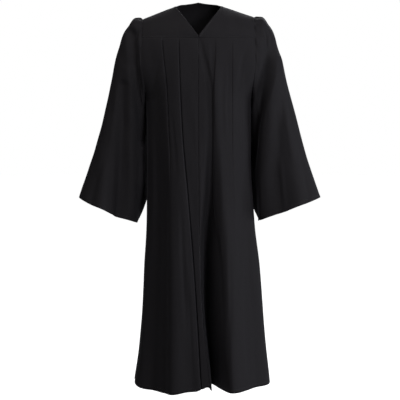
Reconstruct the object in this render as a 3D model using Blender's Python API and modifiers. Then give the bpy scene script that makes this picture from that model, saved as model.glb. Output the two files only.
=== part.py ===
# Graduation gown, filled out as worn: yoke, pleated fronts, gathered back, bell sleeves, centre zip.
# Metres. x runs to the wearer's left, the front faces -y and z is up. The origin is at the base of the neck,
# midway between the two points where the shoulder seams meet the neckline. Drops are measured down from it.
import bpy
import numpy as np

for thing in list(bpy.data.objects):
    bpy.data.objects.remove(thing, do_unlink=True)

# Cloth and seams
wall = 0.0015
seam = 0.0004
sleeveSeam = 0.0012
sleeveClear = {-1: 0.003, 1: 0.008}
sideSeam = 0.0009
centreGap = 0.0013
cloth = (0.012, 0.011, 0.013, 1.0)
clothRoughness = 0.75

# Neck, shoulders and armholes
neckHalf = 0.0755
vDrop = 0.098
vDepth = 0.0985
backNeckDepth = 0.066
shoulderHalf = 0.1815
shoulderDrop = {-1: 0.0415, 1: 0.0350}
underarmDrop = 0.310
armholeDepth = {-1: 0.074, 1: 0.080}
armholeLine = dict(
    drop=(0.035, 0.105, 0.180, 0.230, 0.270, 0.310),
    reach=(0.1815, 0.1835, 0.1845, 0.1805, 0.1758, 0.1740))
backRidge = dict(
    reach=(0.0, 0.048, 0.0755, 0.100, 0.1815),
    rise=(0.0375, 0.0195, 0.0, -0.0096, -0.0415))
yokeDrop = 0.1046
backYokeDrop = 0.150
yokeStitch = 0.0003
roundness = 2.3

# Body sections from the yoke to the hem: reach to either side, and depth to the front and the back
bodySections = [
    dict(drop=0.040, left=0.216, right=0.212, front=0.080, back=0.098),
    dict(drop=0.105, left=0.200, right=0.200, front=0.098, back=0.104),
    dict(drop=0.200, left=0.185, right=0.186, front=0.108, back=0.117),
    dict(drop=0.310, left=0.1740, right=0.1740, front=0.113, back=0.121),
    dict(drop=0.450, left=0.1710, right=0.1735, front=0.116, back=0.122),
    dict(drop=0.650, left=0.1720, right=0.1810, front=0.122, back=0.128),
    dict(drop=0.860, left=0.1815, right=0.2045, front=0.135, back=0.140),
    dict(drop=1.070, left=0.1930, right=0.2210, front=0.150, back=0.154),
    dict(drop=1.247, left=0.2145, right=0.2395, front=0.165, back=0.168),
]

# Folds of the fronts. Each runs down the cloth: where it is across and how far it stands out, at these
# drops, its width to either side at the yoke and at the hem, and how far the cloth beside it tucks under.
foldDrops = (0.105, 0.140, 0.330, 0.610, 0.850, 1.247)
frontFolds = [
    dict(name="outerPleatRight", x=(-0.117, -0.114, -0.097, -0.088, -0.086, -0.082),
         out=(0.0008, 0.0050, 0.0060, 0.0, 0.0, 0.0), left=(0.042, 0.050), right=(0.003, 0.004),
         tuck=(0.0, -0.0050, -0.0055, 0.0, 0.0, 0.0)),
    dict(name="outerUnderRight", x=(-0.113, -0.110, -0.093, -0.082, -0.080, -0.076),
         out=(0.0, -0.0020, -0.0025, 0.0, 0.0, 0.0), left=(0.004, 0.004), right=(0.014, 0.014)),
    dict(name="innerPleatRight", x=(-0.062, -0.061, -0.054, -0.033, -0.0135, 0.011),
         out=(0.0008, 0.0055, 0.0070, 0.0085, 0.0100, 0.0110), left=(0.038, 0.060), right=(0.003, 0.004),
         tuck=(0.0, -0.0050, -0.0055, -0.0060, -0.0065, -0.0060)),
    dict(name="innerUnderRight", x=(-0.058, -0.057, -0.050, -0.029, -0.0095, 0.015),
         out=(0.0, -0.0020, -0.0025, -0.0030, -0.0030, -0.0020), left=(0.004, 0.004), right=(0.012, 0.014)),
    dict(name="innerPleatLeft", x=(0.057, 0.056, 0.049, 0.052, 0.074, 0.080),
         out=(0.0008, 0.0050, 0.0065, 0.0060, 0.0030, 0.0), left=(0.003, 0.004), right=(0.042, 0.050),
         tuck=(0.0, 0.0050, 0.0055, 0.0050, 0.0, 0.0)),
    dict(name="innerUnderLeft", x=(0.053, 0.052, 0.045, 0.048, 0.069, 0.075),
         out=(0.0, -0.0020, -0.0025, -0.0025, 0.0, 0.0), left=(0.012, 0.012), right=(0.004, 0.004)),
    dict(name="outerPleatLeft", x=(0.112, 0.112, 0.112, 0.116, 0.130, 0.150),
         out=(0.0008, 0.0035, 0.0045, 0.0020, 0.0, 0.0), left=(0.003, 0.004), right=(0.040, 0.045),
         tuck=(0.0, 0.0040, 0.0045, 0.0, 0.0, 0.0)),
    dict(name="diagonalFold", x=(0.003, 0.012, 0.043, 0.050, 0.050, 0.050),
         out=(-0.0005, -0.0035, -0.0040, 0.0, 0.0, 0.0), left=(0.014, 0.014), right=(0.014, 0.014)),
    dict(name="deepFold", x=(0.030, 0.032, 0.040, 0.048, 0.048, 0.039),
         out=(0.0, 0.0, -0.002, -0.024, -0.074, -0.114), left=(0.016, 0.064), right=(0.014, 0.050)),
    dict(name="ridgeRight", x=(-0.080, -0.080, -0.078, -0.062, -0.052, -0.056),
         out=(0.0, 0.0, 0.002, 0.009, 0.016, 0.024), left=(0.034, 0.048), right=(0.050, 0.064)),
    dict(name="troughRight", x=(-0.150, -0.150, -0.130, -0.112, -0.110, -0.112),
         out=(0.0, -0.001, -0.004, -0.016, -0.020, -0.009), left=(0.045, 0.055), right=(0.026, 0.034)),
    dict(name="ridgeLeft", x=(0.085, 0.085, 0.090, 0.100, 0.112, 0.118),
         out=(0.0, 0.0, 0.001, 0.008, 0.024, 0.042), left=(0.036, 0.048), right=(0.050, 0.058)),
    dict(name="troughLeft", x=(0.150, 0.150, 0.150, 0.155, 0.172, 0.200),
         out=(0.0, -0.001, -0.004, -0.007, -0.010, -0.013), left=(0.040, 0.045), right=(0.030, 0.035)),
]

# Lines that the mesh follows across each front, and how many strips lie before each
rightFrontLines = [
    dict(fold="outerPleatRight", side=0, strips=10),
    dict(fold="outerPleatRight", side=1, strips=1),
    dict(fold="innerPleatRight", side=0, strips=8),
    dict(fold="innerPleatRight", side=1, strips=1),
    dict(fold="zip", side=-1, strips=4),
    dict(fold=None, side=0, strips=1),
]
leftFrontLines = [
    dict(fold="zip", side=1, strips=1),
    dict(fold="deepFold", side=0, strips=4),
    dict(fold="innerPleatLeft", side=-1, strips=4),
    dict(fold="innerPleatLeft", side=0, strips=1),
    dict(fold="outerPleatLeft", side=-1, strips=6),
    dict(fold="outerPleatLeft", side=0, strips=1),
    dict(fold=None, side=0, strips=9),
]
centreX = (0.0, 0.0, 0.0, 0.001, 0.006, 0.022)

# The fronts hang a little lower than the hem line here
hemDip = dict(
    x=(-0.2145, -0.190, -0.160, -0.130, -0.090, -0.040, 0.0, 0.020, 0.045, 0.080, 0.2395),
    drop=(0.0, 0.0030, 0.0060, 0.0100, 0.0095, 0.0020, 0.0020, 0.0060, 0.0025, 0.0, 0.0))

# The back hangs in soft folds from gathers under its yoke
backFolds = 9
backStrips = 42

# Sleeve sections from armhole to cuff: the outer and inner edges as seen from the front, and the depth
leftSleeve = [
    dict(along=0.00, outer=(-0.1815, 0.000, 0.0415), inner=(-0.1735, 0.000, 0.310), front=0.074, back=0.080),
    dict(along=0.06, outer=(-0.2000, 0.001, 0.0375), inner=(-0.1740, 0.012, 0.333), front=0.078, back=0.083),
    dict(along=0.13, outer=(-0.2295, 0.003, 0.0640), inner=(-0.1700, 0.026, 0.362), front=0.079, back=0.084),
    dict(along=0.25, outer=(-0.2620, 0.005, 0.1350), inner=(-0.1640, 0.044, 0.408), front=0.077, back=0.082),
    dict(along=0.42, outer=(-0.2880, 0.006, 0.2440), inner=(-0.1580, 0.058, 0.474), front=0.076, back=0.080),
    dict(along=0.62, outer=(-0.3180, 0.006, 0.3780), inner=(-0.1560, 0.066, 0.558), front=0.080, back=0.082),
    dict(along=0.82, outer=(-0.3630, 0.004, 0.5280), inner=(-0.1750, 0.060, 0.642), front=0.092, back=0.092),
    dict(along=1.00, outer=(-0.3970, 0.000, 0.6270), inner=(-0.2050, 0.042, 0.714), front=0.104, back=0.104),
]
rightSleeve = [
    dict(along=0.00, outer=(0.1815, 0.000, 0.0350), inner=(0.1745, 0.000, 0.310), front=0.074, back=0.080),
    dict(along=0.06, outer=(0.1990, 0.001, 0.0350), inner=(0.1750, 0.012, 0.333), front=0.078, back=0.083),
    dict(along=0.13, outer=(0.2285, 0.003, 0.0565), inner=(0.1710, 0.026, 0.362), front=0.079, back=0.084),
    dict(along=0.25, outer=(0.2610, 0.005, 0.1330), inner=(0.1650, 0.044, 0.408), front=0.077, back=0.082),
    dict(along=0.42, outer=(0.2920, 0.006, 0.2440), inner=(0.1600, 0.060, 0.474), front=0.076, back=0.080),
    dict(along=0.62, outer=(0.3270, 0.006, 0.3780), inner=(0.1600, 0.070, 0.558), front=0.080, back=0.082),
    dict(along=0.82, outer=(0.3700, 0.004, 0.5280), inner=(0.1760, 0.068, 0.642), front=0.092, back=0.092),
    dict(along=1.00, outer=(0.4050, 0.000, 0.6275), inner=(0.2030, 0.050, 0.709), front=0.104, back=0.104),
]
sleeveStrips = 44
sleeveRows = (0.0, 0.03, 0.07, 0.12, 0.18, 0.25, 0.33, 0.42, 0.52, 0.62, 0.72, 0.82, 0.91, 1.0)
cuffBackDrop = {-1: 0.017, 1: 0.015}
cuffFrontLift = {-1: 0.0, 1: 0.006}
gathers = 7
gatherRise = 0.0030
gatherLength = 0.16

# Folds of the sleeves, as seen from the front or from behind: their line, how far each end stands out, width
sleeveFolds = [
    dict(side=-1, face=-1, path=((-0.216, -0.090), (-0.212, -0.160), (-0.203, -0.240), (-0.190, -0.330),
                                 (-0.178, -0.443)), out=(-0.010, -0.012), wide=0.026),
    dict(side=-1, face=-1, path=((-0.243, -0.260), (-0.251, -0.450), (-0.258, -0.690)), out=(-0.006, -0.026),
         wide=0.028),
    dict(side=-1, face=-1, path=((-0.228, -0.210), (-0.222, -0.450), (-0.218, -0.720)), out=(0.004, 0.014),
         wide=0.028),
    dict(side=-1, face=-1, path=((-0.290, -0.380), (-0.308, -0.520), (-0.320, -0.690)), out=(0.003, 0.016),
         wide=0.040),
    dict(side=1, face=-1, path=((0.228, -0.100), (0.227, -0.179), (0.220, -0.250), (0.208, -0.320),
                                (0.196, -0.440)), out=(-0.012, -0.018), wide=0.030),
    dict(side=1, face=-1, path=((0.250, -0.170), (0.258, -0.300), (0.268, -0.470)), out=(0.006, 0.008),
         wide=0.026),
    dict(side=1, face=-1, path=((0.236, -0.380), (0.242, -0.540), (0.246, -0.720)), out=(-0.004, -0.020),
         wide=0.036),
    dict(side=1, face=-1, path=((0.290, -0.360), (0.310, -0.520), (0.326, -0.690)), out=(0.004, 0.016),
         wide=0.042),
    dict(side=-1, face=1, path=((-0.222, -0.110), (-0.216, -0.220), (-0.196, -0.350)), out=(-0.008, -0.010),
         wide=0.028),
    dict(side=-1, face=1, path=((-0.250, -0.300), (-0.265, -0.480), (-0.275, -0.740)), out=(-0.005, -0.020),
         wide=0.036),
    dict(side=-1, face=1, path=((-0.285, -0.330), (-0.312, -0.500), (-0.335, -0.720)), out=(0.004, 0.014),
         wide=0.036),
    dict(side=1, face=1, path=((0.222, -0.110), (0.218, -0.220), (0.200, -0.350)), out=(-0.008, -0.010),
         wide=0.028),
    dict(side=1, face=1, path=((0.262, -0.280), (0.282, -0.480), (0.300, -0.740)), out=(-0.005, -0.020),
         wide=0.036),
    dict(side=1, face=1, path=((0.228, -0.330), (0.228, -0.500), (0.232, -0.730)), out=(0.004, 0.014),
         wide=0.032),
]

# Zip: a flat tape behind the centre edges
zipHalf = 0.011
zipTape = 0.0010
zipEnd = 0.900


def through(knots, values, at):
    # A smooth line through a table's values that never overshoots them
    knots = np.asarray(knots, float)
    values = np.asarray(values, float)
    step = np.diff(knots)
    slope = np.diff(values) / step
    tangent = np.zeros(len(knots))
    product = slope[1:] * slope[:-1]
    total = np.where(product > 0, slope[1:] + slope[:-1], 1.0)
    tangent[1:-1] = np.where(product > 0, 2 * product / total, 0.0)
    tangent[0] = slope[0]
    tangent[-1] = slope[-1]
    at = np.clip(at, knots[0], knots[-1])
    cell = np.clip(np.searchsorted(knots, at, side="right") - 1, 0, len(step) - 1)
    part = (at - knots[cell]) / step[cell]
    left = values[cell] + tangent[cell] * step[cell] * part
    right = values[cell + 1] - tangent[cell + 1] * step[cell] * (1 - part)
    blend = part * part * (3 - 2 * part)
    return left * (1 - blend) + right * blend


def column(table, key):
    return [row[key] for row in table]


def bump(away, left, right):
    # 1 on the line, falling to 0 at the given widths to its left and right
    reach = np.where(away < 0, -away / left, away / right)
    return np.cos(0.5 * np.pi * np.clip(reach, 0, 1)) ** 2


def bodySize(drop, face):
    # Reach to the left and right, and depth. Beside an armhole the section widens to pass through its edge.
    rows = column(bodySections, "drop")
    depth = through(rows, column(bodySections, "front" if face < 0 else "back"), drop)
    reach = []
    for side, key in ((-1, "left"), (1, "right")):
        plain = through(rows, column(bodySections, key), drop)
        share = np.clip(armholeDepth[face] * armholeSine(drop, side) / depth, 0, 0.97) ** roundness
        edge = through(armholeLine["drop"], armholeLine["reach"], drop)
        reach.append(np.where(drop < underarmDrop, edge / (1 - share) ** (1 / roundness), plain))
    return reach[0], reach[1], depth


def armholeSine(drop, side):
    top = shoulderDrop[side]
    height = (0.5 * (underarmDrop + top) - drop) / (0.5 * (underarmDrop - top))
    return armholeBow(np.arccos(np.clip(height, -1, 1)))


def armholeBow(angle):
    # How far the armhole bows out, as a share: more pointed towards the underarm
    return np.clip(np.sin(angle), 0, 1) ** (1 + 0.45 * np.clip(-np.cos(angle), 0, 1) ** 2)


def widthAt(pair, drop):
    share = np.clip((drop - foldDrops[0]) / (foldDrops[-1] - foldDrops[0]), 0, 1)
    return pair[0] + (pair[1] - pair[0]) * share


def frontRise(x, drop):
    # How far the front stands out from its plain section: the sum of its folds
    rise = np.zeros(np.broadcast(x, drop).shape)
    for fold in frontFolds:
        away = x - through(foldDrops, fold["x"], drop)
        height = through(foldDrops, fold["out"], drop)
        rise = rise + height * bump(away, widthAt(fold["left"], drop), widthAt(fold["right"], drop))
    return rise


def backRise(turn, drop):
    # Soft unequal waves across the back, from small gathers at the yoke to full folds at the hem
    share = np.clip((drop - backYokeDrop) / (foldDrops[-1] - backYokeDrop), 0, 1)
    wander = 0.10 * np.sin(2.3 * turn + 0.6) + 0.05 * share * np.sin(5.1 * turn)
    wave = np.cos(2 * (backFolds - 0.5) * (turn + wander) + 0.4)
    height = (0.0012 + 0.0025 * np.clip(share * 12, 0, 1) + 0.012 * share ** 1.3) * np.clip(share * 40, 0, 1)
    uneven = 0.75 + 0.25 * np.sin(3.7 * turn + 1.0)
    return height * uneven * wave * np.sin(turn) ** 0.5


def frontTuck(x, drop):
    # How far the cloth beside each pleat slides in under the pleat's edge
    slide = np.zeros(np.broadcast(x, drop).shape)
    for fold in frontFolds:
        if "tuck" not in fold:
            continue
        amount = through(foldDrops, fold["tuck"], drop)
        sign = 1 if fold["right"][0] < fold["left"][0] else -1
        step = widthAt(fold["right"] if sign > 0 else fold["left"], drop)
        away = sign * (x - through(foldDrops, fold["x"], drop)) - step
        slide = slide + amount * bump(away, step, 0.013)
    return slide


def bodyPoint(turn, drop, face, folds=True):
    # A point of the body: turn 0 is the side at -x, pi the side at +x, by way of the front or the back
    turn, drop = np.broadcast_arrays(np.asarray(turn, float), np.asarray(drop, float))
    left, right, depth = bodySize(drop, face)
    reach = np.where(turn < 0.5 * np.pi, left, right)
    across = np.cos(turn)
    level = 2 / roundness
    x = -np.sign(across) * reach * np.abs(across) ** level
    y = face * depth * np.abs(np.sin(turn)) ** level
    nx = np.sign(x) * np.abs(x / reach) ** (roundness - 1) / reach
    ny = face * np.abs(y / depth) ** (roundness - 1) / depth
    length = np.hypot(nx, ny)
    rise = np.zeros(turn.shape)
    if folds:
        rise = frontRise(x, drop) if face < 0 else backRise(turn, drop)
        if face < 0:
            rise = rise * np.clip(np.sin(turn) * 3, 0, 1)
    slide = frontTuck(x, drop) if folds and face < 0 else np.zeros(turn.shape)
    nx = nx / length
    ny = ny / length
    return np.stack([x + nx * rise + face * ny * slide, y + ny * rise - face * nx * slide, -drop], axis=-1)


def turnAt(x, drop):
    # The turn at which the plain front section passes this x
    left, right, depth = bodySize(drop, -1)
    reach = np.where(x < 0, left, right)
    share = np.clip(np.abs(x) / reach, 0, 1) ** (roundness / 2)
    return 0.5 * np.pi + np.sign(x) * np.arcsin(share)


def armholeDrop(angle, side):
    top = shoulderDrop[side]
    return 0.5 * (underarmDrop + top) - 0.5 * (underarmDrop - top) * np.cos(angle)


def armholeTurn(angle, side, face):
    # The turn of the body section at which the armhole edge lies
    drop = armholeDrop(angle, side)
    left, right, depth = bodySize(drop, face)
    share = np.clip(armholeDepth[face] * armholeBow(angle) / depth, 0, 1) ** (roundness / 2)
    turn = np.arcsin(share)
    return turn if side < 0 else np.pi - turn


def armholePoint(angle, side, face):
    # The armhole edge, from the shoulder at angle 0 to the underarm at pi
    drop = armholeDrop(np.asarray(angle, float), side)
    x = side * through(armholeLine["drop"], armholeLine["reach"], drop)
    return np.stack([x, face * armholeDepth[face] * armholeBow(angle), -drop], axis=-1)


def yokeAngle(side, face):
    low = yokeDrop if face < 0 else backYokeDrop
    top = shoulderDrop[side]
    return np.arccos((0.5 * (underarmDrop + top) - low) / (0.5 * (underarmDrop - top)))


def between(first, second, share):
    return first + (second - first) * share


def patch(top, low, start, end, across, down):
    # A surface between four edges that meet at their ends
    across = across[None, :, None]
    down = down[:, None, None]
    sides = between(start[:, None], end[:, None], across)
    topFix = top[None] - between(start[0], end[0], across)
    lowFix = low[None] - between(start[-1], end[-1], across)
    return sides + topFix * (1 - down) + lowFix * down


def frontYoke(side, across, down):
    # Front yoke: across runs from the neckline to the armhole, down from the shoulder seam to the yoke seam
    share = np.clip(down / 0.92, 0, 1)
    x = side * (neckHalf * (1 - share) + seam)
    y = -vDepth * np.sin(0.5 * np.pi * share) ** 0.75
    z = -np.where(down < 0.92, vDrop * share, between(vDrop, yokeDrop - yokeStitch, (down - 0.92) / 0.08))
    neckline = np.stack([x, y, z], axis=-1)
    neckline[0, 1] = -seam / 2
    edge = armholePoint(down * yokeAngle(side, -1), side, -1)
    edge[:, 0] -= side * seam / 2
    edge[0, 1] = -seam / 2
    edge[-1, 2] += yokeStitch
    top = between(neckline[0], edge[0], across[:, None])
    start = turnAt(side * seam, yokeDrop)
    end = armholeTurn(yokeAngle(side, -1), side, -1)
    low = bodyPoint(between(start, end, across), yokeDrop, -1, folds=False)
    low[:, 2] += yokeStitch
    low += (edge[-1] - low[-1]) * across[:, None] ** 4
    low += (neckline[-1] - low[0]) * (1 - across[:, None]) ** 4
    return patch(top, low, neckline, edge, across, down)


def backYoke(across, down):
    # Back yoke, armhole to armhole: each column falls from the shoulder seam or the neckline to the seam
    ends = [armholeTurn(yokeAngle(side, 1), side, 1) for side in (-1, 1)]
    low = bodyPoint(between(ends[0], ends[1], across), backYokeDrop, 1, folds=False)
    topX = between(armholePoint(0.0, -1, 1)[0], armholePoint(0.0, 1, 1)[0], across)
    ridge = through(backRidge["reach"], backRidge["rise"], np.abs(topX))
    ridge = ridge + (shoulderDrop[-1] - shoulderDrop[1]) * np.clip(topX / shoulderHalf, 0, 1) ** 2
    inside = np.clip(np.abs(topX) / neckHalf, 0, 1)
    neckY = backNeckDepth * np.sqrt(1 - inside ** 2.4)
    power = 0.77
    start = np.arcsin(np.clip(neckY / low[:, 1], 0, 1) ** (1 / power))
    angle = between(start, 0.5 * np.pi, down[:, None])
    y = seam / 2 + (low[:, 1] - seam / 2) * np.abs(np.sin(angle)) ** power
    z = low[:, 2] + (ridge - low[:, 2]) * np.abs(np.cos(angle)) ** power
    x = between(topX, low[:, 0], np.sin(angle))
    grid = np.stack([x, y, z], axis=-1)
    for side, weight in ((-1, (1 - across) ** 5), (1, across ** 5)):
        edge = armholePoint(down * yokeAngle(side, 1), side, 1)
        edge[:, 0] -= side * seam / 2
        edge[:, 1] += seam / 2
        grid = grid + (edge - grid[:, 0 if side < 0 else -1])[:, None] * weight[None, :, None]
    grid[-1, :, 2] += yokeStitch
    return grid


def seamTurn(gap, depth):
    # The small turn that moves a side edge by this gap
    return (gap / depth) ** (roundness / 2)


def panelDrops(side, face, armholeSteps, lowerSteps):
    # Rows of a body panel: along the armhole, then evenly to the hem
    angles = np.linspace(yokeAngle(side, face), np.pi, armholeSteps + 1)
    upper = armholeDrop(angles, side)
    lower = np.linspace(underarmDrop, foldDrops[-1], lowerSteps + 1)[1:]
    sideTurns = np.full(lowerSteps, 0.0 if side < 0 else np.pi)
    turns = np.concatenate([armholeTurn(angles, side, face), sideTurns])
    return np.concatenate([upper, lower]), turns


def frontPanel(side, lines, fine=1, armholeSteps=6, lowerSteps=12):
    # A front: rows down the cloth, columns that follow its pleats
    drops, sideTurns = panelDrops(side, -1, armholeSteps * fine, lowerSteps * fine)
    otherDrops = panelDrops(-side, -1, armholeSteps * fine, lowerSteps * fine)[0]
    middleDrops = 0.5 * (drops + otherDrops)
    middleX = through(foldDrops, centreX, middleDrops)
    middle = turnAt(middleX + side * centreGap / 2, middleDrops)
    sideTurns = sideTurns - side * seamTurn(sideSeam / 2, 0.12) * (drops >= underarmDrop - 1e-6)
    marks = [sideTurns if side < 0 else middle]
    counts = []
    folds = {fold["name"]: fold for fold in frontFolds}
    for line in lines:
        counts.append(line["strips"] * fine)
        if line["fold"] is None:
            marks.append(middle if side < 0 else sideTurns)
            continue
        if line["fold"] == "zip":
            marks.append(turnAt(middleX + side * zipHalf, middleDrops))
            continue
        fold = folds[line["fold"]]
        x = through(foldDrops, fold["x"], drops)
        if line["side"] > 0:
            x = x + widthAt(fold["right"], drops)
        if line["side"] < 0:
            x = x - widthAt(fold["left"], drops)
        marks.append(turnAt(x, drops))
    turns = [marks[0][:, None]]
    for start, end, count in zip(marks[:-1], marks[1:], counts):
        share = np.arange(1, count + 1) / count
        turns.append(start[:, None] + (end - start)[:, None] * share)
    turns = np.concatenate(turns, axis=1)
    toMiddle = np.clip(np.sin(turns) ** 2, 0, 1)
    toMiddle[:, -1 if side < 0 else 0] = 1
    levels = between(drops[:, None], middleDrops[:, None], toMiddle)
    grid = bodyPoint(turns, levels, -1)
    dip = through(hemDip["x"], hemDip["drop"], grid[..., 0])
    grid[..., 2] -= dip * np.clip(levels / foldDrops[-1] * 4 - 3, 0, 1) ** 2
    grid[0, :, 2] -= yokeStitch
    return grid


def backPanel(fine=1, armholeSteps=5, lowerSteps=11):
    # The back, side seam to side seam
    drops, leftTurns = panelDrops(-1, 1, armholeSteps * fine, lowerSteps * fine)
    dropsRight, rightTurns = panelDrops(1, 1, armholeSteps * fine, lowerSteps * fine)
    low = drops >= underarmDrop - 1e-6
    leftTurns = leftTurns + seamTurn(sideSeam / 2, 0.12) * low
    rightTurns = rightTurns - seamTurn(sideSeam / 2, 0.12) * low
    share = np.linspace(0, 1, backStrips * fine + 1)
    turns = leftTurns[:, None] + (rightTurns - leftTurns)[:, None] * share
    levels = drops[:, None] + (dropsRight - drops)[:, None] * share
    grid = bodyPoint(turns, levels, 1)
    grid[0, :, 2] -= yokeStitch
    return grid


def alongPath(x, z, path):
    # Distance to a line of points as seen from the front, and how far along it the nearest point is
    points = np.asarray(path)
    lengths = np.hypot(*np.diff(points, axis=0).T)
    best = np.full(x.shape, 9.0)
    share = np.zeros(x.shape)
    run = 0.0
    for start, end, length in zip(points[:-1], points[1:], lengths):
        way = (end - start) / length
        step = (x - start[0]) * way[0] + (z - start[1]) * way[1]
        step = np.clip(step, 0, length)
        gap = np.hypot(x - start[0] - way[0] * step, z - start[1] - way[1] * step)
        nearer = gap < best
        best = np.where(nearer, gap, best)
        share = np.where(nearer, (run + step) / lengths.sum(), share)
        run = run + length
    return best, share


def sleeveSurface(side, angles, alongs):
    # Rings between the sleeve's outer and inner edges: angle 0 is the outer edge, and the front comes first
    table = leftSleeve if side < 0 else rightSleeve
    rows = column(table, "along")
    angle = angles[None, :]
    along = alongs[:, None]

    def edge(key, part):
        sign = -1 if part == 2 else 1
        return through(rows, [row[key][part] * sign for row in table], along)

    across = np.cos(angle)
    deep = np.sin(angle)
    depth = np.where(deep > 0, -through(rows, column(table, "front"), along),
                     -through(rows, column(table, "back"), along))
    point = [between(edge("inner", part), edge("outer", part), 0.5 + 0.5 * across) for part in range(3)]
    x = point[0]
    y = point[1] + depth * deep
    z = point[2] - cuffBackDrop[side] * np.clip(-deep, 0, 1) * along ** 3
    z = z + cuffFrontLift[side] * np.clip(deep, 0, 1) * along ** 3
    grid = np.stack(np.broadcast_arrays(x, y, z), axis=-1)
    # The first ring lies on the armhole, and the difference fades along the sleeve
    half = np.where(angles <= np.pi, angles, 2 * np.pi - angles)
    front = armholePoint(half, side, -1)
    back = armholePoint(half, side, 1)
    seamLine = np.where((angles <= np.pi)[:, None], front, back)
    seamLine[:, 0] += side * sleeveSeam
    fade = np.clip(1 - along / 0.30, 0, 1)[..., None] ** 2
    grid = grid + (seamLine - grid[0])[None] * fade
    # Gathers at the cap, then the hanging folds
    outward = grid - grid.mean(axis=1, keepdims=True)
    outward[..., 1] *= 1.6
    tilt = np.gradient(grid, axis=1)
    run = np.gradient(grid, axis=0)
    normal = np.cross(tilt, run)
    normal /= np.maximum(np.linalg.norm(normal, axis=-1, keepdims=True), 1e-9)
    normal *= np.sign((normal * outward).sum(axis=-1, keepdims=True))
    cap = np.clip(np.cos(angle * 0.5) ** 2 * 1.6 - 0.5, 0, 1)
    wave = np.cos(gathers * 2.35 * np.where(angle > np.pi, angle - 2 * np.pi, angle))
    swell = np.clip(along / 0.03, 0, 1) * np.clip(1 - along / gatherLength, 0, 1)
    rise = gatherRise * cap * wave * swell
    for fold in sleeveFolds:
        if fold["side"] != side:
            continue
        near, share = alongPath(grid[..., 0], grid[..., 2], fold["path"])
        facing = np.clip(fold["face"] * -deep * 2.5, 0, 1)
        ends = np.clip(along / 0.10, 0, 1)
        height = between(fold["out"][0], fold["out"][1], share) * facing * ends
        rise = rise + height * bump(near, fold["wide"], fold["wide"])
    grid = grid + normal * rise[..., None]
    # Where it hangs beside the body it stays just clear of it, and beside the armhole outside its edge
    drop = -grid[..., 2]
    started = np.clip(along / 0.08, 0, 1)
    edgeX = np.zeros(drop.shape)
    for face in (-1, 1):
        left, right, depth = bodySize(np.maximum(drop, underarmDrop), face)
        reach = left if side < 0 else right
        inside = np.clip(np.abs(grid[..., 1]) / depth, 0, 1) ** roundness
        bodyX = reach * (1 - inside) ** (1 / roundness) + sleeveClear[face] * started
        edgeX = np.where(grid[..., 1] * face >= 0, bodyX, edgeX)
    below = np.clip((drop - underarmDrop) / 0.02 + 0.5, 0, 1)
    edgeX = between(seamLine[None, :, 0] * side, edgeX, below)
    away = grid[..., 0] * side - edgeX
    moved = 0.5 * (away + np.sqrt(away ** 2 + (0.003 * started) ** 2))
    grid[..., 0] = side * (edgeX + moved)
    return grid


def zipStrip(rightGrid, leftGrid):
    # The fronts' own points beside the centre, moved in by the wall
    rows = leftGrid[:, 0, 2] > -zipEnd
    middle = 0.5 * (rightGrid[:, -1] + leftGrid[:, 0])
    columns = [rightGrid[:, -3], rightGrid[:, -2], middle, leftGrid[:, 1], leftGrid[:, 2]]
    grid = np.stack(columns, axis=1)[rows]
    normal = np.cross(np.gradient(grid, axis=1), np.gradient(grid, axis=0))
    normal /= np.linalg.norm(normal, axis=-1, keepdims=True)
    normal *= np.sign(normal[..., 1:2])
    grid = (grid + normal * (wall + seam))[:, 1:4]
    grid[0, :, 2] -= 0.003
    return grid


def addSheet(name, grid, ring=False, flip=False, thickness=wall):
    # An open surface from a grid of points, made a wall by Solidify on its inner side
    rows, columns = grid.shape[:2]
    index = np.arange(rows * columns).reshape(rows, columns)
    after = np.roll(index, -1, axis=1) if ring else index[:, 1:]
    here = index if ring else index[:, :-1]
    faces = np.stack([here[:-1], here[1:], after[1:], after[:-1]], axis=-1).reshape(-1, 4)
    if flip:
        faces = faces[:, ::-1]
    mesh = bpy.data.meshes.new(name)
    mesh.from_pydata(grid.reshape(-1, 3).tolist(), [], faces.tolist())
    mesh.shade_smooth()
    mesh.update()
    thing = bpy.data.objects.new(name, mesh)
    gown.objects.link(thing)
    thing.parent = origin
    look = bpy.data.materials.new(name)
    look.use_nodes = True
    surface = look.node_tree.nodes["Principled BSDF"]
    surface.inputs["Base Color"].default_value = cloth
    surface.inputs["Roughness"].default_value = clothRoughness
    surface.inputs["Metallic"].default_value = 0.0
    mesh.materials.append(look)
    solid = thing.modifiers.new("wall", "SOLIDIFY")
    solid.thickness = thickness
    solid.offset = -1
    solid.use_rim = True
    return thing


gown = bpy.data.collections.new("graduation_gown")
bpy.context.scene.collection.children.link(gown)
origin = bpy.data.objects.new("neck_base", None)
gown.objects.link(origin)

yokeAcross = np.linspace(0, 1, 9)
yokeDown = np.array([0.0, 0.12, 0.26, 0.42, 0.60, 0.78, 0.92, 1.0])
addSheet("yoke_front_right", frontYoke(-1, yokeAcross, yokeDown), flip=True)
addSheet("yoke_front_left", frontYoke(1, yokeAcross, yokeDown))

neckShare = (neckHalf + seam) / (shoulderHalf - seam / 2)
backAcross = np.concatenate([
    np.linspace(0, 0.5 - 0.5 * neckShare, 6)[:-1],
    0.5 - 0.5 * neckShare * np.cos(np.linspace(0, np.pi, 13)),
    np.linspace(0.5 + 0.5 * neckShare, 1, 6)[1:],
])
addSheet("yoke_back", backYoke(backAcross, np.linspace(0, 1, 8)), flip=False)

rightFront = frontPanel(-1, rightFrontLines)
leftFront = frontPanel(1, leftFrontLines)
addSheet("front_right", rightFront)
addSheet("front_left", leftFront)
addSheet("back", backPanel(), flip=True)

ringAngles = np.linspace(0, 2 * np.pi, sleeveStrips + 1)[:-1]
ringAngles = ringAngles - 0.45 * np.sin(ringAngles)
addSheet("sleeve_right", sleeveSurface(-1, ringAngles, np.array(sleeveRows)), ring=True)
addSheet("sleeve_left", sleeveSurface(1, ringAngles, np.array(sleeveRows)), ring=True, flip=True)

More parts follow.
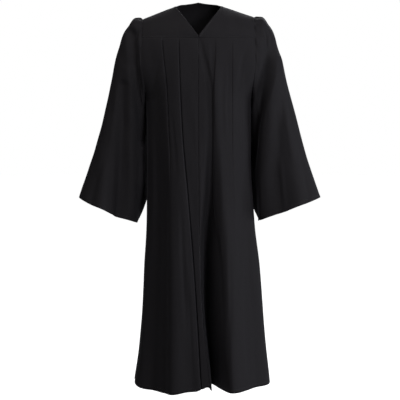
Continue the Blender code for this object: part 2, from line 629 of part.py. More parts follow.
# The zip tape follows the fronts' own points at the centre edges, just inside them
addSheet("zip_tape", zipStrip(rightFront, leftFront), thickness=zipTape)
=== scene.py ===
# Graduation gown: fine cloth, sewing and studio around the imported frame
import bpy
import numpy as np
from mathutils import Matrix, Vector


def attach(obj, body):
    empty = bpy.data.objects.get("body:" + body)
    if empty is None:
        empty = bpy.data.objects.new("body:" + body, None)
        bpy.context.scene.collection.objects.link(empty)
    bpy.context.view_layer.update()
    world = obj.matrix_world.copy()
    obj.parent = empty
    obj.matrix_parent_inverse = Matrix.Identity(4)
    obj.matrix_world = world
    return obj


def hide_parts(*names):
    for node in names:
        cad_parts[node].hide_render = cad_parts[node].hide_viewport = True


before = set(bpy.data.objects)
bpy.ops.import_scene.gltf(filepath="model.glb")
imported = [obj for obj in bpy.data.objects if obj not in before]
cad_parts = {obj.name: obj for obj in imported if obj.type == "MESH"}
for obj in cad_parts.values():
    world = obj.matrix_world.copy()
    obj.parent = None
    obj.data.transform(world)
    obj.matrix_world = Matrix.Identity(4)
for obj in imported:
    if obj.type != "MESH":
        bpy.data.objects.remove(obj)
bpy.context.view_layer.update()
print("frame loaded")

# Sizes of the gown, in metres, the same as its solids have. Drops are measured down from the neck base.
gown = dict(
    neckHalf=0.0755, vDrop=0.098, vDepth=0.0985, backNeckDepth=0.066,
    shoulderHalf=0.1815, shoulderDrop={-1: 0.0415, 1: 0.0350}, underarmDrop=0.310,
    armholeDepth={-1: 0.074, 1: 0.080}, yokeDrop=0.1046, backYokeDrop=0.150,
    seam=0.0004, sleeveSeam=0.0010, sideSeam=0.0003, centreGap=0.0011, yokeStitch=0.00015,
    sleeveClear={-1: 0.003, 1: 0.008}, roundness=2.3, wall=0.0011,
)
armholeLine = dict(
    drop=(0.035, 0.105, 0.180, 0.230, 0.270, 0.310),
    reach=(0.1815, 0.1835, 0.1845, 0.1805, 0.1758, 0.1740))
backRidge = dict(
    reach=(0.0, 0.048, 0.0755, 0.100, 0.1815),
    rise=(0.0375, 0.0195, 0.0, -0.0096, -0.0415))
bodySections = [
    dict(drop=0.040, left=0.216, right=0.212, front=0.080, back=0.098),
    dict(drop=0.105, left=0.200, right=0.200, front=0.098, back=0.104),
    dict(drop=0.200, left=0.185, right=0.186, front=0.108, back=0.117),
    dict(drop=0.310, left=0.1740, right=0.1740, front=0.113, back=0.121),
    dict(drop=0.450, left=0.1710, right=0.1735, front=0.116, back=0.122),
    dict(drop=0.650, left=0.1720, right=0.1810, front=0.122, back=0.128),
    dict(drop=0.860, left=0.1815, right=0.2045, front=0.135, back=0.140),
    dict(drop=1.070, left=0.1930, right=0.2210, front=0.150, back=0.154),
    dict(drop=1.247, left=0.2145, right=0.2395, front=0.165, back=0.168),
]
foldDrops = (0.105, 0.140, 0.330, 0.610, 0.850, 1.247)
frontFolds = [
    dict(name="outerPleatRight", x=(-0.121, -0.118, -0.101, -0.092, -0.088, -0.084),
         out=(0.0004, 0.0030, 0.0040, 0.0, 0.0, 0.0), left=(0.042, 0.050), right=(0.007, 0.007),
         tuck=(0.0, -0.0015, -0.0015, 0.0, 0.0, 0.0), groove=(0.0, -0.0050, -0.0060, 0.0, 0.0, 0.0)),
    dict(name="innerPleatRight", x=(-0.0665, -0.0655, -0.0585, -0.0375, -0.0180, 0.006),
         out=(0.0004, 0.0030, 0.0044, 0.0060, 0.0064, 0.0060), left=(0.038, 0.060), right=(0.007, 0.007),
         tuck=(0.0, -0.0015, -0.0015, -0.0010, -0.0010, -0.0010),
         groove=(0.0, -0.0045, -0.0070, -0.0120, -0.0110, -0.0080)),
    dict(name="innerPleatLeft", x=(0.059, 0.058, 0.051, 0.055, 0.078, 0.090),
         out=(0.0003, 0.0016, 0.0085, 0.0100, 0.0040, 0.0), left=(0.008, 0.008), right=(0.042, 0.050),
         tuck=(0.0, 0.0010, 0.0020, 0.0020, 0.0, 0.0), groove=(0.0, -0.0008, -0.0030, -0.0040, 0.0, 0.0)),
    dict(name="outerPleatLeft", x=(0.112, 0.112, 0.112, 0.116, 0.130, 0.150),
         out=(0.0002, 0.0007, 0.0014, 0.0010, 0.0, 0.0), left=(0.006, 0.006), right=(0.040, 0.045),
         tuck=(0.0, 0.0010, 0.0010, 0.0, 0.0, 0.0), groove=(0.0, -0.0004, -0.0008, 0.0, 0.0, 0.0)),
    dict(name="diagonalFold", x=(0.003, 0.012, 0.043, 0.050, 0.050, 0.050),
         out=(-0.0003, -0.0028, -0.0046, 0.0, 0.0, 0.0), left=(0.018, 0.018), right=(0.011, 0.011)),
    dict(name="deepFold", x=(0.030, 0.032, 0.042, 0.038, 0.024, 0.056),
         out=(0.0, 0.0, -0.003, -0.034, -0.082, -0.112), left=(0.014, 0.016, 0.028, 0.028, 0.021, 0.015),
         right=(0.014, 0.016, 0.026, 0.038, 0.049, 0.042)),
    dict(name="ridgeRight", x=(-0.080, -0.080, -0.080, -0.078, -0.076, -0.078),
         out=(0.0, 0.0, 0.003, 0.012, 0.018, 0.022), left=(0.034, 0.036), right=(0.050, 0.070)),
    dict(name="troughRight", x=(-0.150, -0.150, -0.144, -0.144, -0.150, -0.168),
         out=(0.0, -0.001, -0.007, -0.017, -0.023, -0.026), left=(0.036, 0.044), right=(0.042, 0.080)),
    dict(name="ridgeLeft", x=(0.085, 0.085, 0.088, 0.090, 0.093, 0.104),
         out=(0.0, 0.0, 0.001, 0.008, 0.020, 0.034), left=(0.034, 0.030), right=(0.050, 0.072)),
    dict(name="troughLeft", x=(0.150, 0.150, 0.150, 0.155, 0.172, 0.200),
         out=(0.0, -0.001, -0.004, -0.007, -0.010, -0.013), left=(0.040, 0.045), right=(0.030, 0.035)),
]
centreX = (0.0, 0.0, 0.0, 0.001, 0.0065, 0.036)
hemDip = dict(
    x=(-0.2145, -0.190, -0.160, -0.130, -0.090, -0.040, -0.010, 0.004, 0.017, 0.031, 0.045, 0.080, 0.2395),
    drop=(0.0, 0.0080, 0.0105, 0.0110, 0.0095, 0.0020, 0.0, -0.0045, -0.0085, -0.0130, 0.0, 0.0020, 0.0))
sleeveTables = {
    -1: [
        dict(along=0.00, outer=(-0.1815, 0.000, 0.0415), inner=(-0.1735, 0.000, 0.310), front=0.074, back=0.080),
        dict(along=0.06, outer=(-0.2000, 0.001, 0.0375), inner=(-0.1740, 0.012, 0.333), front=0.078, back=0.083),
        dict(along=0.13, outer=(-0.2295, 0.003, 0.0640), inner=(-0.1700, 0.026, 0.362), front=0.079, back=0.084),
        dict(along=0.25, outer=(-0.2620, 0.005, 0.1350), inner=(-0.1640, 0.044, 0.408), front=0.077, back=0.082),
        dict(along=0.42, outer=(-0.2880, 0.006, 0.2440), inner=(-0.1580, 0.058, 0.474), front=0.076, back=0.080),
        dict(along=0.62, outer=(-0.3180, 0.006, 0.3780), inner=(-0.1560, 0.066, 0.558), front=0.080, back=0.082),
        dict(along=0.82, outer=(-0.3630, 0.004, 0.5280), inner=(-0.1750, 0.060, 0.642), front=0.092, back=0.092),
        dict(along=1.00, outer=(-0.3970, 0.000, 0.6270), inner=(-0.2050, 0.042, 0.714), front=0.104, back=0.104),
    ],
    1: [
        dict(along=0.00, outer=(0.1815, 0.000, 0.0350), inner=(0.1745, 0.000, 0.310), front=0.074, back=0.080),
        dict(along=0.06, outer=(0.1990, 0.001, 0.0350), inner=(0.1750, 0.012, 0.333), front=0.078, back=0.083),
        dict(along=0.13, outer=(0.2285, 0.003, 0.0565), inner=(0.1710, 0.026, 0.362), front=0.079, back=0.084),
        dict(along=0.25, outer=(0.2610, 0.005, 0.1330), inner=(0.1650, 0.044, 0.408), front=0.077, back=0.082),
        dict(along=0.42, outer=(0.2920, 0.006, 0.2440), inner=(0.1600, 0.060, 0.474), front=0.076, back=0.080),
        dict(along=0.62, outer=(0.3270, 0.006, 0.3780), inner=(0.1600, 0.070, 0.558), front=0.080, back=0.082),
        dict(along=0.82, outer=(0.3700, 0.004, 0.5280), inner=(0.1760, 0.068, 0.642), front=0.092, back=0.092),
        dict(along=1.00, outer=(0.4050, 0.000, 0.6275), inner=(0.2030, 0.050, 0.709), front=0.104, back=0.104),
    ],
}
sleeveFolds = [
    dict(side=-1, face=-1, path=((-0.216, -0.090), (-0.212, -0.160), (-0.203, -0.240), (-0.190, -0.330),
                                 (-0.178, -0.443)), out=(-0.010, -0.012), wide=0.026),
    dict(side=-1, face=-1, path=((-0.243, -0.260), (-0.251, -0.450), (-0.258, -0.690)), out=(-0.006, -0.020),
         wide=0.028),
    dict(side=-1, face=-1, path=((-0.228, -0.210), (-0.222, -0.450), (-0.218, -0.720)), out=(0.004, 0.010),
         wide=0.028),
    dict(side=-1, face=-1, path=((-0.290, -0.380), (-0.308, -0.520), (-0.320, -0.690)), out=(0.003, 0.016),
         wide=0.040),
    dict(side=1, face=-1, path=((0.228, -0.100), (0.2265, -0.179), (0.218, -0.250), (0.203, -0.320),
                                (0.190, -0.380), (0.176, -0.480), (0.172, -0.600)), out=(-0.016, -0.020), wide=0.028, ends=True),
    dict(side=1, face=-1, path=((0.250, -0.180), (0.236, -0.300), (0.228, -0.420), (0.224, -0.560), (0.236, -0.740)),
         out=(0.012, 0.032), wide=0.044),
    dict(side=1, face=-1, path=((0.262, -0.170), (0.272, -0.300), (0.286, -0.500)), out=(0.002, 0.003),
         wide=0.026, ends=True),
    dict(side=1, face=-1, path=((0.236, -0.380), (0.242, -0.540), (0.246, -0.720)), out=(-0.001, -0.006),
         wide=0.036),
    dict(side=1, face=-1, path=((0.290, -0.360), (0.310, -0.520), (0.326, -0.690)), out=(0.002, 0.007),
         wide=0.042),
    dict(side=-1, face=1, path=((-0.222, -0.110), (-0.216, -0.220), (-0.196, -0.350)), out=(-0.008, -0.010),
         wide=0.028),
    dict(side=-1, face=1, path=((-0.250, -0.300), (-0.265, -0.480), (-0.275, -0.740)), out=(-0.005, -0.020),
         wide=0.036),
    dict(side=-1, face=1, path=((-0.285, -0.330), (-0.312, -0.500), (-0.335, -0.720)), out=(0.004, 0.014),
         wide=0.036),
    dict(side=1, face=1, path=((0.222, -0.110), (0.218, -0.220), (0.200, -0.350)), out=(-0.008, -0.010),
         wide=0.028),
    dict(side=1, face=1, path=((0.262, -0.280), (0.282, -0.480), (0.300, -0.740)), out=(-0.005, -0.020),
         wide=0.036),
    dict(side=1, face=1, path=((0.228, -0.330), (0.228, -0.500), (0.232, -0.730)), out=(0.004, 0.014),
         wide=0.032),
]

# Small creases, as seen from the front or from behind: a line, how far it stands out, its width
creases = dict(
    front=[
        dict(path=((0.142, -0.290), (0.139, -0.400), (0.143, -0.560)), out=0.0030, wide=0.013),
        dict(path=((0.090, -0.180), (0.086, -0.330), (0.092, -0.470)), out=0.0018, wide=0.010),
        dict(path=((0.168, -0.520), (0.176, -0.700), (0.181, -0.930)), out=0.0030, wide=0.016),
        dict(path=((0.102, -0.760), (0.104, -0.960), (0.098, -1.150)), out=-0.0026, wide=0.014),
        dict(path=((0.150, -0.880), (0.156, -1.040), (0.166, -1.247)), out=-0.0032, wide=0.018),
        dict(path=((0.128, -0.620), (0.130, -0.760), (0.140, -0.900)), out=-0.0020, wide=0.012),
        dict(path=((0.158, -0.130), (0.140, -0.190), (0.126, -0.290)), out=-0.0018, wide=0.012),
        dict(path=((0.014, -0.400), (0.013, -0.560), (0.015, -0.760)), out=-0.0022, wide=0.008),
        dict(path=((-0.012, -0.330), (-0.006, -0.460), (0.002, -0.600)), out=0.0014, wide=0.009),
        dict(path=((-0.158, -0.300), (-0.132, -0.200), (-0.118, -0.150)), out=-0.0022, wide=0.011),
        dict(path=((-0.150, -0.420), (-0.147, -0.640), (-0.158, -0.860)), out=0.0024, wide=0.013),
        dict(path=((-0.168, -0.800), (-0.175, -0.980), (-0.186, -1.200)), out=0.0030, wide=0.016),
        dict(path=((-0.058, -0.640), (-0.048, -0.860), (-0.040, -1.060)), out=-0.0024, wide=0.012),
        dict(path=((-0.030, -0.840), (-0.018, -1.020), (-0.008, -1.230)), out=0.0018, wide=0.010),
        dict(path=((-0.090, -0.330), (-0.078, -0.450), (-0.070, -0.560)), out=-0.0020, wide=0.010),
        dict(path=((0.032, -0.110), (0.036, -0.180), (0.046, -0.270)), out=0.0014, wide=0.010),
    ],
    back=[
        dict(path=((-0.120, -0.190), (-0.100, -0.300), (-0.096, -0.420)), out=-0.0026, wide=0.014),
        dict(path=((0.125, -0.200), (0.104, -0.320), (0.094, -0.460)), out=-0.0024, wide=0.013),
        dict(path=((0.020, -0.170), (0.026, -0.340), (0.016, -0.520)), out=0.0022, wide=0.012),
        dict(path=((-0.050, -0.420), (-0.058, -0.600), (-0.052, -0.800)), out=-0.0028, wide=0.014),
        dict(path=((0.060, -0.520), (0.072, -0.700), (0.068, -0.940)), out=-0.0030, wide=0.016),
        dict(path=((0.140, -0.620), (0.158, -0.820), (0.165, -1.040)), out=0.0028, wide=0.016),
        dict(path=((-0.150, -0.560), (-0.160, -0.800), (-0.168, -1.000)), out=0.0026, wide=0.015),
        dict(path=((-0.010, -0.800), (-0.004, -1.000), (-0.012, -1.230)), out=-0.0030, wide=0.016),
    ],
    sleeveRight=[
        dict(face=-1, path=((-0.196, -0.075), (-0.204, -0.110), (-0.206, -0.150)), out=-0.0030, wide=0.007),
        dict(face=-1, path=((-0.186, -0.160), (-0.196, -0.210), (-0.200, -0.280)), out=0.0026, wide=0.010),
        dict(face=-1, path=((-0.262, -0.220), (-0.276, -0.340), (-0.288, -0.480)), out=0.0026, wide=0.014),
        dict(face=-1, path=((-0.238, -0.420), (-0.236, -0.560), (-0.240, -0.700)), out=-0.0024, wide=0.010),
        dict(face=-1, path=((-0.300, -0.480), (-0.330, -0.560), (-0.350, -0.650)), out=-0.0028, wide=0.015),
        dict(face=-1, path=((-0.196, -0.500), (-0.202, -0.590), (-0.212, -0.700)), out=-0.0026, wide=0.012),
        dict(face=1, path=((-0.230, -0.140), (-0.240, -0.260), (-0.244, -0.380)), out=0.0026, wide=0.014),
        dict(face=1, path=((-0.300, -0.420), (-0.330, -0.540), (-0.356, -0.650)), out=-0.0030, wide=0.016),
        dict(face=1, path=((-0.214, -0.420), (-0.222, -0.560), (-0.232, -0.720)), out=0.0028, wide=0.014),
    ],
    sleeveLeft=[
        dict(face=-1, path=((0.214, -0.072), (0.222, -0.100), (0.226, -0.140)), out=-0.0034, wide=0.006),
        dict(face=-1, path=((0.228, -0.066), (0.238, -0.100), (0.242, -0.150)), out=-0.0026, wide=0.006),
        dict(face=-1, path=((0.190, -0.260), (0.194, -0.360), (0.192, -0.470)), out=0.0036, wide=0.010),
        dict(face=-1, path=((0.276, -0.240), (0.290, -0.380), (0.312, -0.520)), out=0.0030, wide=0.015),
        dict(face=-1, path=((0.266, -0.480), (0.276, -0.580), (0.288, -0.700)), out=0.0028, wide=0.013),
        dict(face=-1, path=((0.318, -0.400), (0.344, -0.520), (0.366, -0.650)), out=-0.0028, wide=0.016),
        dict(face=-1, path=((0.216, -0.560), (0.222, -0.640), (0.226, -0.710)), out=0.0024, wide=0.010),
        dict(face=1, path=((0.236, -0.140), (0.244, -0.260), (0.246, -0.400)), out=0.0026, wide=0.014),
        dict(face=1, path=((0.310, -0.420), (0.338, -0.540), (0.362, -0.650)), out=-0.0030, wide=0.016),
        dict(face=1, path=((0.262, -0.440), (0.270, -0.580), (0.276, -0.720)), out=0.0028, wide=0.014),
    ],
)


def through(knots, values, at):
    # Cubic between table rows, with slopes limited so that the line never overshoots a row
    knots = np.asarray(knots, float)
    values = np.asarray(values, float)
    step = np.diff(knots)
    slope = np.diff(values) / step
    tangent = np.zeros(len(knots))
    product = slope[1:] * slope[:-1]
    total = np.where(product > 0, slope[1:] + slope[:-1], 1.0)
    tangent[1:-1] = np.where(product > 0, 2 * product / total, 0.0)
    tangent[0] = slope[0]
    tangent[-1] = slope[-1]
    at = np.clip(at, knots[0], knots[-1])
    cell = np.clip(np.searchsorted(knots, at, side="right") - 1, 0, len(step) - 1)
    part = (at - knots[cell]) / step[cell]
    left = values[cell] + tangent[cell] * step[cell] * part
    right = values[cell + 1] - tangent[cell + 1] * step[cell] * (1 - part)
    blend = part * part * (3 - 2 * part)
    return left * (1 - blend) + right * blend


def column(table, key):
    return [row[key] for row in table]


def between(first, second, share):
    return first + (second - first) * share


def smooth(low, high, value):
    # 0 below low, 1 above high, three times the square less twice the cube between
    share = np.clip((value - low) / (high - low), 0, 1)
    return share * share * (3 - 2 * share)


def bump(away, left, right):
    # Square of a cosine: 1 on the line, 0 at the widths to its left and right
    reach = np.where(away < 0, -away / left, away / right)
    return np.cos(0.5 * np.pi * np.clip(reach, 0, 1)) ** 2


def armholeBow(angle):
    # Power of a sine: how far the armhole bows out, more pointed towards the underarm
    return np.clip(np.sin(angle), 0, 1) ** (1 + 0.45 * np.clip(-np.cos(angle), 0, 1) ** 2)


def armholeSine(drop, side):
    # The armhole's bow at this drop
    top = gown["shoulderDrop"][side]
    low = gown["underarmDrop"]
    height = (0.5 * (low + top) - drop) / (0.5 * (low - top))
    return armholeBow(np.arccos(np.clip(height, -1, 1)))


def bodySize(drop, face):
    # Half widths and depth of the body's section, widened beside the armhole to pass through its edge
    rows = column(bodySections, "drop")
    power = gown["roundness"]
    depth = through(rows, column(bodySections, "front" if face < 0 else "back"), drop)
    reach = []
    for side, key in ((-1, "left"), (1, "right")):
        plain = through(rows, column(bodySections, key), drop)
        share = np.clip(gown["armholeDepth"][face] * armholeSine(drop, side) / depth, 0, 0.97) ** power
        edge = through(armholeLine["drop"], armholeLine["reach"], drop)
        reach.append(np.where(drop < gown["underarmDrop"], edge / (1 - share) ** (1 / power), plain))
    return reach[0], reach[1], depth


def widthAt(pair, drop):
    # A fold's width: a row for the fold drops, or its values at the first and last of them
    if len(pair) == len(foldDrops):
        return through(foldDrops, pair, drop)
    share = np.clip((drop - foldDrops[0]) / (foldDrops[-1] - foldDrops[0]), 0, 1)
    return pair[0] + (pair[1] - pair[0]) * share


def foldedSide(fold, drop):
    # The narrow side of a pleat: 1 for its right or -1 for its left, and how wide it is
    sign = 1 if fold["right"][0] < fold["left"][0] else -1
    return sign, widthAt(fold["right"] if sign > 0 else fold["left"], drop)


def frontRise(x, drop):
    # Sum of the front's folds: height along the fold's line times its bump across
    rise = np.zeros(np.broadcast(x, drop).shape)
    for fold in frontFolds:
        away = x - through(foldDrops, fold["x"], drop)
        height = through(foldDrops, fold["out"], drop)
        rise = rise + height * bump(away, widthAt(fold["left"], drop), widthAt(fold["right"], drop))
        if "groove" in fold:
            sign, step = foldedSide(fold, drop)
            depth = through(foldDrops, fold["groove"], drop)
            rise = rise + depth * bump(away - sign * step / 2, step / 2, step / 2)
    return rise


def frontTuck(x, drop):
    # How far the cloth beside each pleat slides in under the pleat's edge
    slide = np.zeros(np.broadcast(x, drop).shape)
    for fold in frontFolds:
        if "tuck" not in fold:
            continue
        amount = through(foldDrops, fold["tuck"], drop)
        sign, step = foldedSide(fold, drop)
        away = sign * (x - through(foldDrops, fold["x"], drop)) - step
        slide = slide + amount * bump(away, step, 0.013)
    return slide


def backRise(turn, drop):
    # Unequal waves of the back, a cosine of the turn whose height grows to the hem
    share = np.clip((drop - gown["backYokeDrop"]) / (foldDrops[-1] - gown["backYokeDrop"]), 0, 1)
    wander = 0.10 * np.sin(2.3 * turn + 0.6) + 0.05 * share * np.sin(5.1 * turn)
    wave = np.cos(17 * (turn + wander) + 0.4)
    height = (0.0012 + 0.0025 * np.clip(share * 12, 0, 1) + 0.012 * share ** 1.3) * np.clip(share * 40, 0, 1)
    uneven = 0.75 + 0.25 * np.sin(3.7 * turn + 1.0)
    return height * uneven * wave * np.sin(turn) ** 0.5


def bodyPoint(turn, drop, face, folds=True):
    # A rounded section: x is the power of a cosine, y the power of a sine, both moved along the normal by the folds
    turn, drop = np.broadcast_arrays(np.asarray(turn, float), np.asarray(drop, float))
    left, right, depth = bodySize(drop, face)
    reach = np.where(turn < 0.5 * np.pi, left, right)
    across = np.cos(turn)
    power = gown["roundness"]
    x = -np.sign(across) * reach * np.abs(across) ** (2 / power)
    y = face * depth * np.abs(np.sin(turn)) ** (2 / power)
    nx = np.sign(x) * np.abs(x / reach) ** (power - 1) / reach
    ny = face * np.abs(y / depth) ** (power - 1) / depth
    length = np.hypot(nx, ny)
    rise = np.zeros(turn.shape)
    slide = np.zeros(turn.shape)
    if folds and face < 0:
        rise = frontRise(x, drop) * np.clip(np.sin(turn) * 3, 0, 1)
        slide = frontTuck(x, drop)
    elif folds:
        rise = backRise(turn, drop)
    nx = nx / length
    ny = ny / length
    return np.stack([x + nx * rise + face * ny * slide, y + ny * rise - face * nx * slide, -drop], axis=-1)


def turnAt(x, drop):
    # The turn at which the plain front section passes this x
    left, right, depth = bodySize(drop, -1)
    reach = np.where(x < 0, left, right)
    share = np.clip(np.abs(x) / reach, 0, 1) ** (gown["roundness"] / 2)
    return 0.5 * np.pi + np.sign(x) * np.arcsin(share)


def armholeDrop(angle, side):
    top = gown["shoulderDrop"][side]
    low = gown["underarmDrop"]
    return 0.5 * (low + top) - 0.5 * (low - top) * np.cos(angle)


def armholeTurn(angle, side, face):
    # The turn of the body's section at which the armhole's edge lies
    drop = armholeDrop(angle, side)
    depth = bodySize(drop, face)[2]
    share = np.clip(gown["armholeDepth"][face] * armholeBow(angle) / depth, 0, 1) ** (gown["roundness"] / 2)
    turn = np.arcsin(share)
    return turn if side < 0 else np.pi - turn


def armholePoint(angle, side, face):
    # The armhole's edge, from the shoulder at angle 0 to the underarm at pi
    drop = armholeDrop(np.asarray(angle, float), side)
    x = side * through(armholeLine["drop"], armholeLine["reach"], drop)
    return np.stack([x, face * gown["armholeDepth"][face] * armholeBow(angle), -drop], axis=-1)


def yokeAngle(side, face):
    low = gown["yokeDrop"] if face < 0 else gown["backYokeDrop"]
    top = gown["shoulderDrop"][side]
    under = gown["underarmDrop"]
    return np.arccos((0.5 * (under + top) - low) / (0.5 * (under - top)))


def alongPath(x, z, path):
    # Distance to a line of points seen from the front, and the share of the line at the nearest point
    points = np.asarray(path)
    lengths = np.hypot(*np.diff(points, axis=0).T)
    best = np.full(x.shape, 9.0)
    share = np.zeros(x.shape)
    run = 0.0
    for start, end, length in zip(points[:-1], points[1:], lengths):
        way = (end - start) / length
        step = np.clip((x - start[0]) * way[0] + (z - start[1]) * way[1], 0, length)
        gap = np.hypot(x - start[0] - way[0] * step, z - start[1] - way[1] * step)
        nearer = gap < best
        best = np.where(nearer, gap, best)
        share = np.where(nearer, (run + step) / lengths.sum(), share)
        run = run + length
    return best, share


def gridNormal(grid):
    # Cross product of the steps along the columns and the rows
    normal = np.cross(np.gradient(grid, axis=1), np.gradient(grid, axis=0))
    return normal / np.maximum(np.linalg.norm(normal, axis=-1, keepdims=True), 1e-9)


def outNormal(grid, centre):
    # The grid's normal turned to point away from a centre line
    normal = gridNormal(grid)
    return normal * np.sign((normal * (grid - centre)).sum(axis=-1, keepdims=True))


def creaseRise(grid, rows, facing=None):
    # Soft troughs and ridges: a bump across each line, fading to nothing at both of its ends
    rise = np.zeros(grid.shape[:2])
    for row in rows:
        near, share = alongPath(grid[..., 0], grid[..., 2], row["path"])
        ends = np.sin(np.pi * np.clip(share, 0.0, 1.0)) ** 0.8
        height = row["out"] * ends * bump(near, row["wide"], row["wide"])
        if facing is not None:
            height = height * np.clip(row["face"] * facing * 2.5, 0, 1)
        rise = rise + height
    return rise


def slackRise(grid, height):
    # Slow unevenness of hanging cloth: three sine waves of unlike lengths, longer down than across
    x, y, z = grid[..., 0], grid[..., 1], grid[..., 2]
    first = np.sin(61 * x + 9 * z + 1.3) * np.sin(23 * z + 4 * x + 0.4)
    second = np.sin(97 * x - 14 * z + 40 * y + 0.7) * np.sin(11 * z + 2.0)
    third = np.sin(150 * x + 31 * z + 2.1)
    return height * (0.5 * first + 0.35 * second + 0.15 * third)


def edgeFade(grid, wide, ring=False):
    # 0 on the panel's edges and 1 at this distance inside them
    down = np.linalg.norm(np.diff(grid, axis=0), axis=-1)
    down = np.concatenate([np.zeros((1, grid.shape[1])), np.cumsum(down, axis=0)])
    fade = smooth(0, wide, down) * smooth(0, wide, down[-1:] - down)
    if ring:
        return fade
    across = np.linalg.norm(np.diff(grid, axis=1), axis=-1)
    across = np.concatenate([np.zeros((grid.shape[0], 1)), np.cumsum(across, axis=1)], axis=1)
    return fade * smooth(0, wide, across) * smooth(0, wide, across[:, -1:] - across)


def frontYoke(side, across, down):
    # Blend of four edges: neckline and armhole at the sides, shoulder seam above, yoke seam below
    seam = gown["seam"]
    stitch = gown["yokeStitch"]
    share = np.clip(down / 0.92, 0, 1)
    x = side * (gown["neckHalf"] * (1 - share) + seam)
    y = -gown["vDepth"] * np.sin(0.5 * np.pi * share) ** 0.75
    low = between(gown["vDrop"], gown["yokeDrop"] - stitch, (down - 0.92) / 0.08)
    z = -np.where(down < 0.92, gown["vDrop"] * share, low)
    neckline = np.stack([x, y, z], axis=-1)
    neckline[0, 1] = -seam / 2
    edge = armholePoint(down * yokeAngle(side, -1), side, -1)
    edge[:, 0] -= side * seam / 2
    edge[0, 1] = -seam / 2
    edge[-1, 2] += stitch
    top = between(neckline[0], edge[0], across[:, None])
    start = turnAt(side * seam, gown["yokeDrop"])
    end = armholeTurn(yokeAngle(side, -1), side, -1)
    low = bodyPoint(between(start, end, across), gown["yokeDrop"], -1, folds=False)
    low[:, 2] += stitch
    low += (edge[-1] - low[-1]) * across[:, None] ** 4
    low += (neckline[-1] - low[0]) * (1 - across[:, None]) ** 4
    across = across[None, :, None]
    down = down[:, None, None]
    grid = between(neckline[:, None], edge[:, None], across)
    grid = grid + (top[None] - between(neckline[0], edge[0], across)) * (1 - down)
    return grid + (low[None] - between(neckline[-1], edge[-1], across)) * down


def backYoke(across, down):
    # Each column is a quarter of a rounded arch from the neckline or shoulder seam down to the yoke seam
    seam = gown["seam"]
    ends = [armholeTurn(yokeAngle(side, 1), side, 1) for side in (-1, 1)]
    low = bodyPoint(between(ends[0], ends[1], across), gown["backYokeDrop"], 1, folds=False)
    topX = between(armholePoint(0.0, -1, 1)[0], armholePoint(0.0, 1, 1)[0], across)
    ridge = through(backRidge["reach"], backRidge["rise"], np.abs(topX))
    slope = gown["shoulderDrop"][-1] - gown["shoulderDrop"][1]
    ridge = ridge + slope * np.clip(topX / gown["shoulderHalf"], 0, 1) ** 2
    inside = np.clip(np.abs(topX) / gown["neckHalf"], 0, 1)
    neckY = gown["backNeckDepth"] * np.sqrt(1 - inside ** 2.4)
    power = 0.77
    start = np.arcsin(np.clip(neckY / low[:, 1], 0, 1) ** (1 / power))
    angle = between(start, 0.5 * np.pi, down[:, None])
    y = seam / 2 + (low[:, 1] - seam / 2) * np.abs(np.sin(angle)) ** power
    z = low[:, 2] + (ridge - low[:, 2]) * np.abs(np.cos(angle)) ** power
    x = between(topX, low[:, 0], np.sin(angle))
    grid = np.stack([x, y, z], axis=-1)
    for side, weight in ((-1, (1 - across) ** 5), (1, across ** 5)):
        edge = armholePoint(down * yokeAngle(side, 1), side, 1)
        edge[:, 0] -= side * seam / 2
        edge[:, 1] += seam / 2
        grid = grid + (edge - grid[:, 0 if side < 0 else -1])[:, None] * weight[None, :, None]
    grid[-1, :, 2] += gown["yokeStitch"]
    return grid


def seamTurn(gap, depth):
    return (gap / depth) ** (gown["roundness"] / 2)


def panelDrops(side, face, armholeSteps, lowerSteps):
    # Rows of a body panel: along the armhole, then evenly to the hem
    angles = np.linspace(yokeAngle(side, face), np.pi, armholeSteps + 1)
    lower = np.linspace(gown["underarmDrop"], foldDrops[-1], lowerSteps + 1)[1:]
    turns = np.concatenate([armholeTurn(angles, side, face), np.full(lowerSteps, 0.0 if side < 0 else np.pi)])
    return np.concatenate([armholeDrop(angles, side), lower]), turns


def underSeam(grid, normal):
    # The seam allowance: two more rows above the panel's top, moved in under the yoke
    grid = grid.copy()
    grid[0, :, 2] += gown["yokeStitch"] + 0.0002
    rows = [grid[0] - normal[0] * inward + np.array([0, 0, up]) for up, inward in ((0.006, 0.0016), (0.0006, 0.0008))]
    return np.concatenate([np.stack(rows), grid])


# Columns of the fronts: each line that they follow, and how many strips lie before it
frontPanels = {
    -1: dict(armholeSteps=40, lowerSteps=110, lines=[
        dict(fold="outerPleatRight", side=0, strips=34), dict(fold="outerPleatRight", side=1, strips=14),
        dict(fold="innerPleatRight", side=0, strips=28), dict(fold="innerPleatRight", side=1, strips=14),
        dict(fold="zip", side=-1, strips=20), dict(fold=None, side=0, strips=6)]),
    1: dict(armholeSteps=40, lowerSteps=110, lines=[
        dict(fold="zip", side=1, strips=6), dict(fold="innerPleatLeft", side=-1, strips=34),
        dict(fold="innerPleatLeft", side=0, strips=14),
        dict(fold="outerPleatLeft", side=-1, strips=24), dict(fold="outerPleatLeft", side=0, strips=12),
        dict(fold=None, side=0, strips=34)]),
}
zipSize = dict(half=0.011, end=0.900, wall=0.0010, coilHalf=0.0019, coilRise=0.00035, pitch=0.0017)


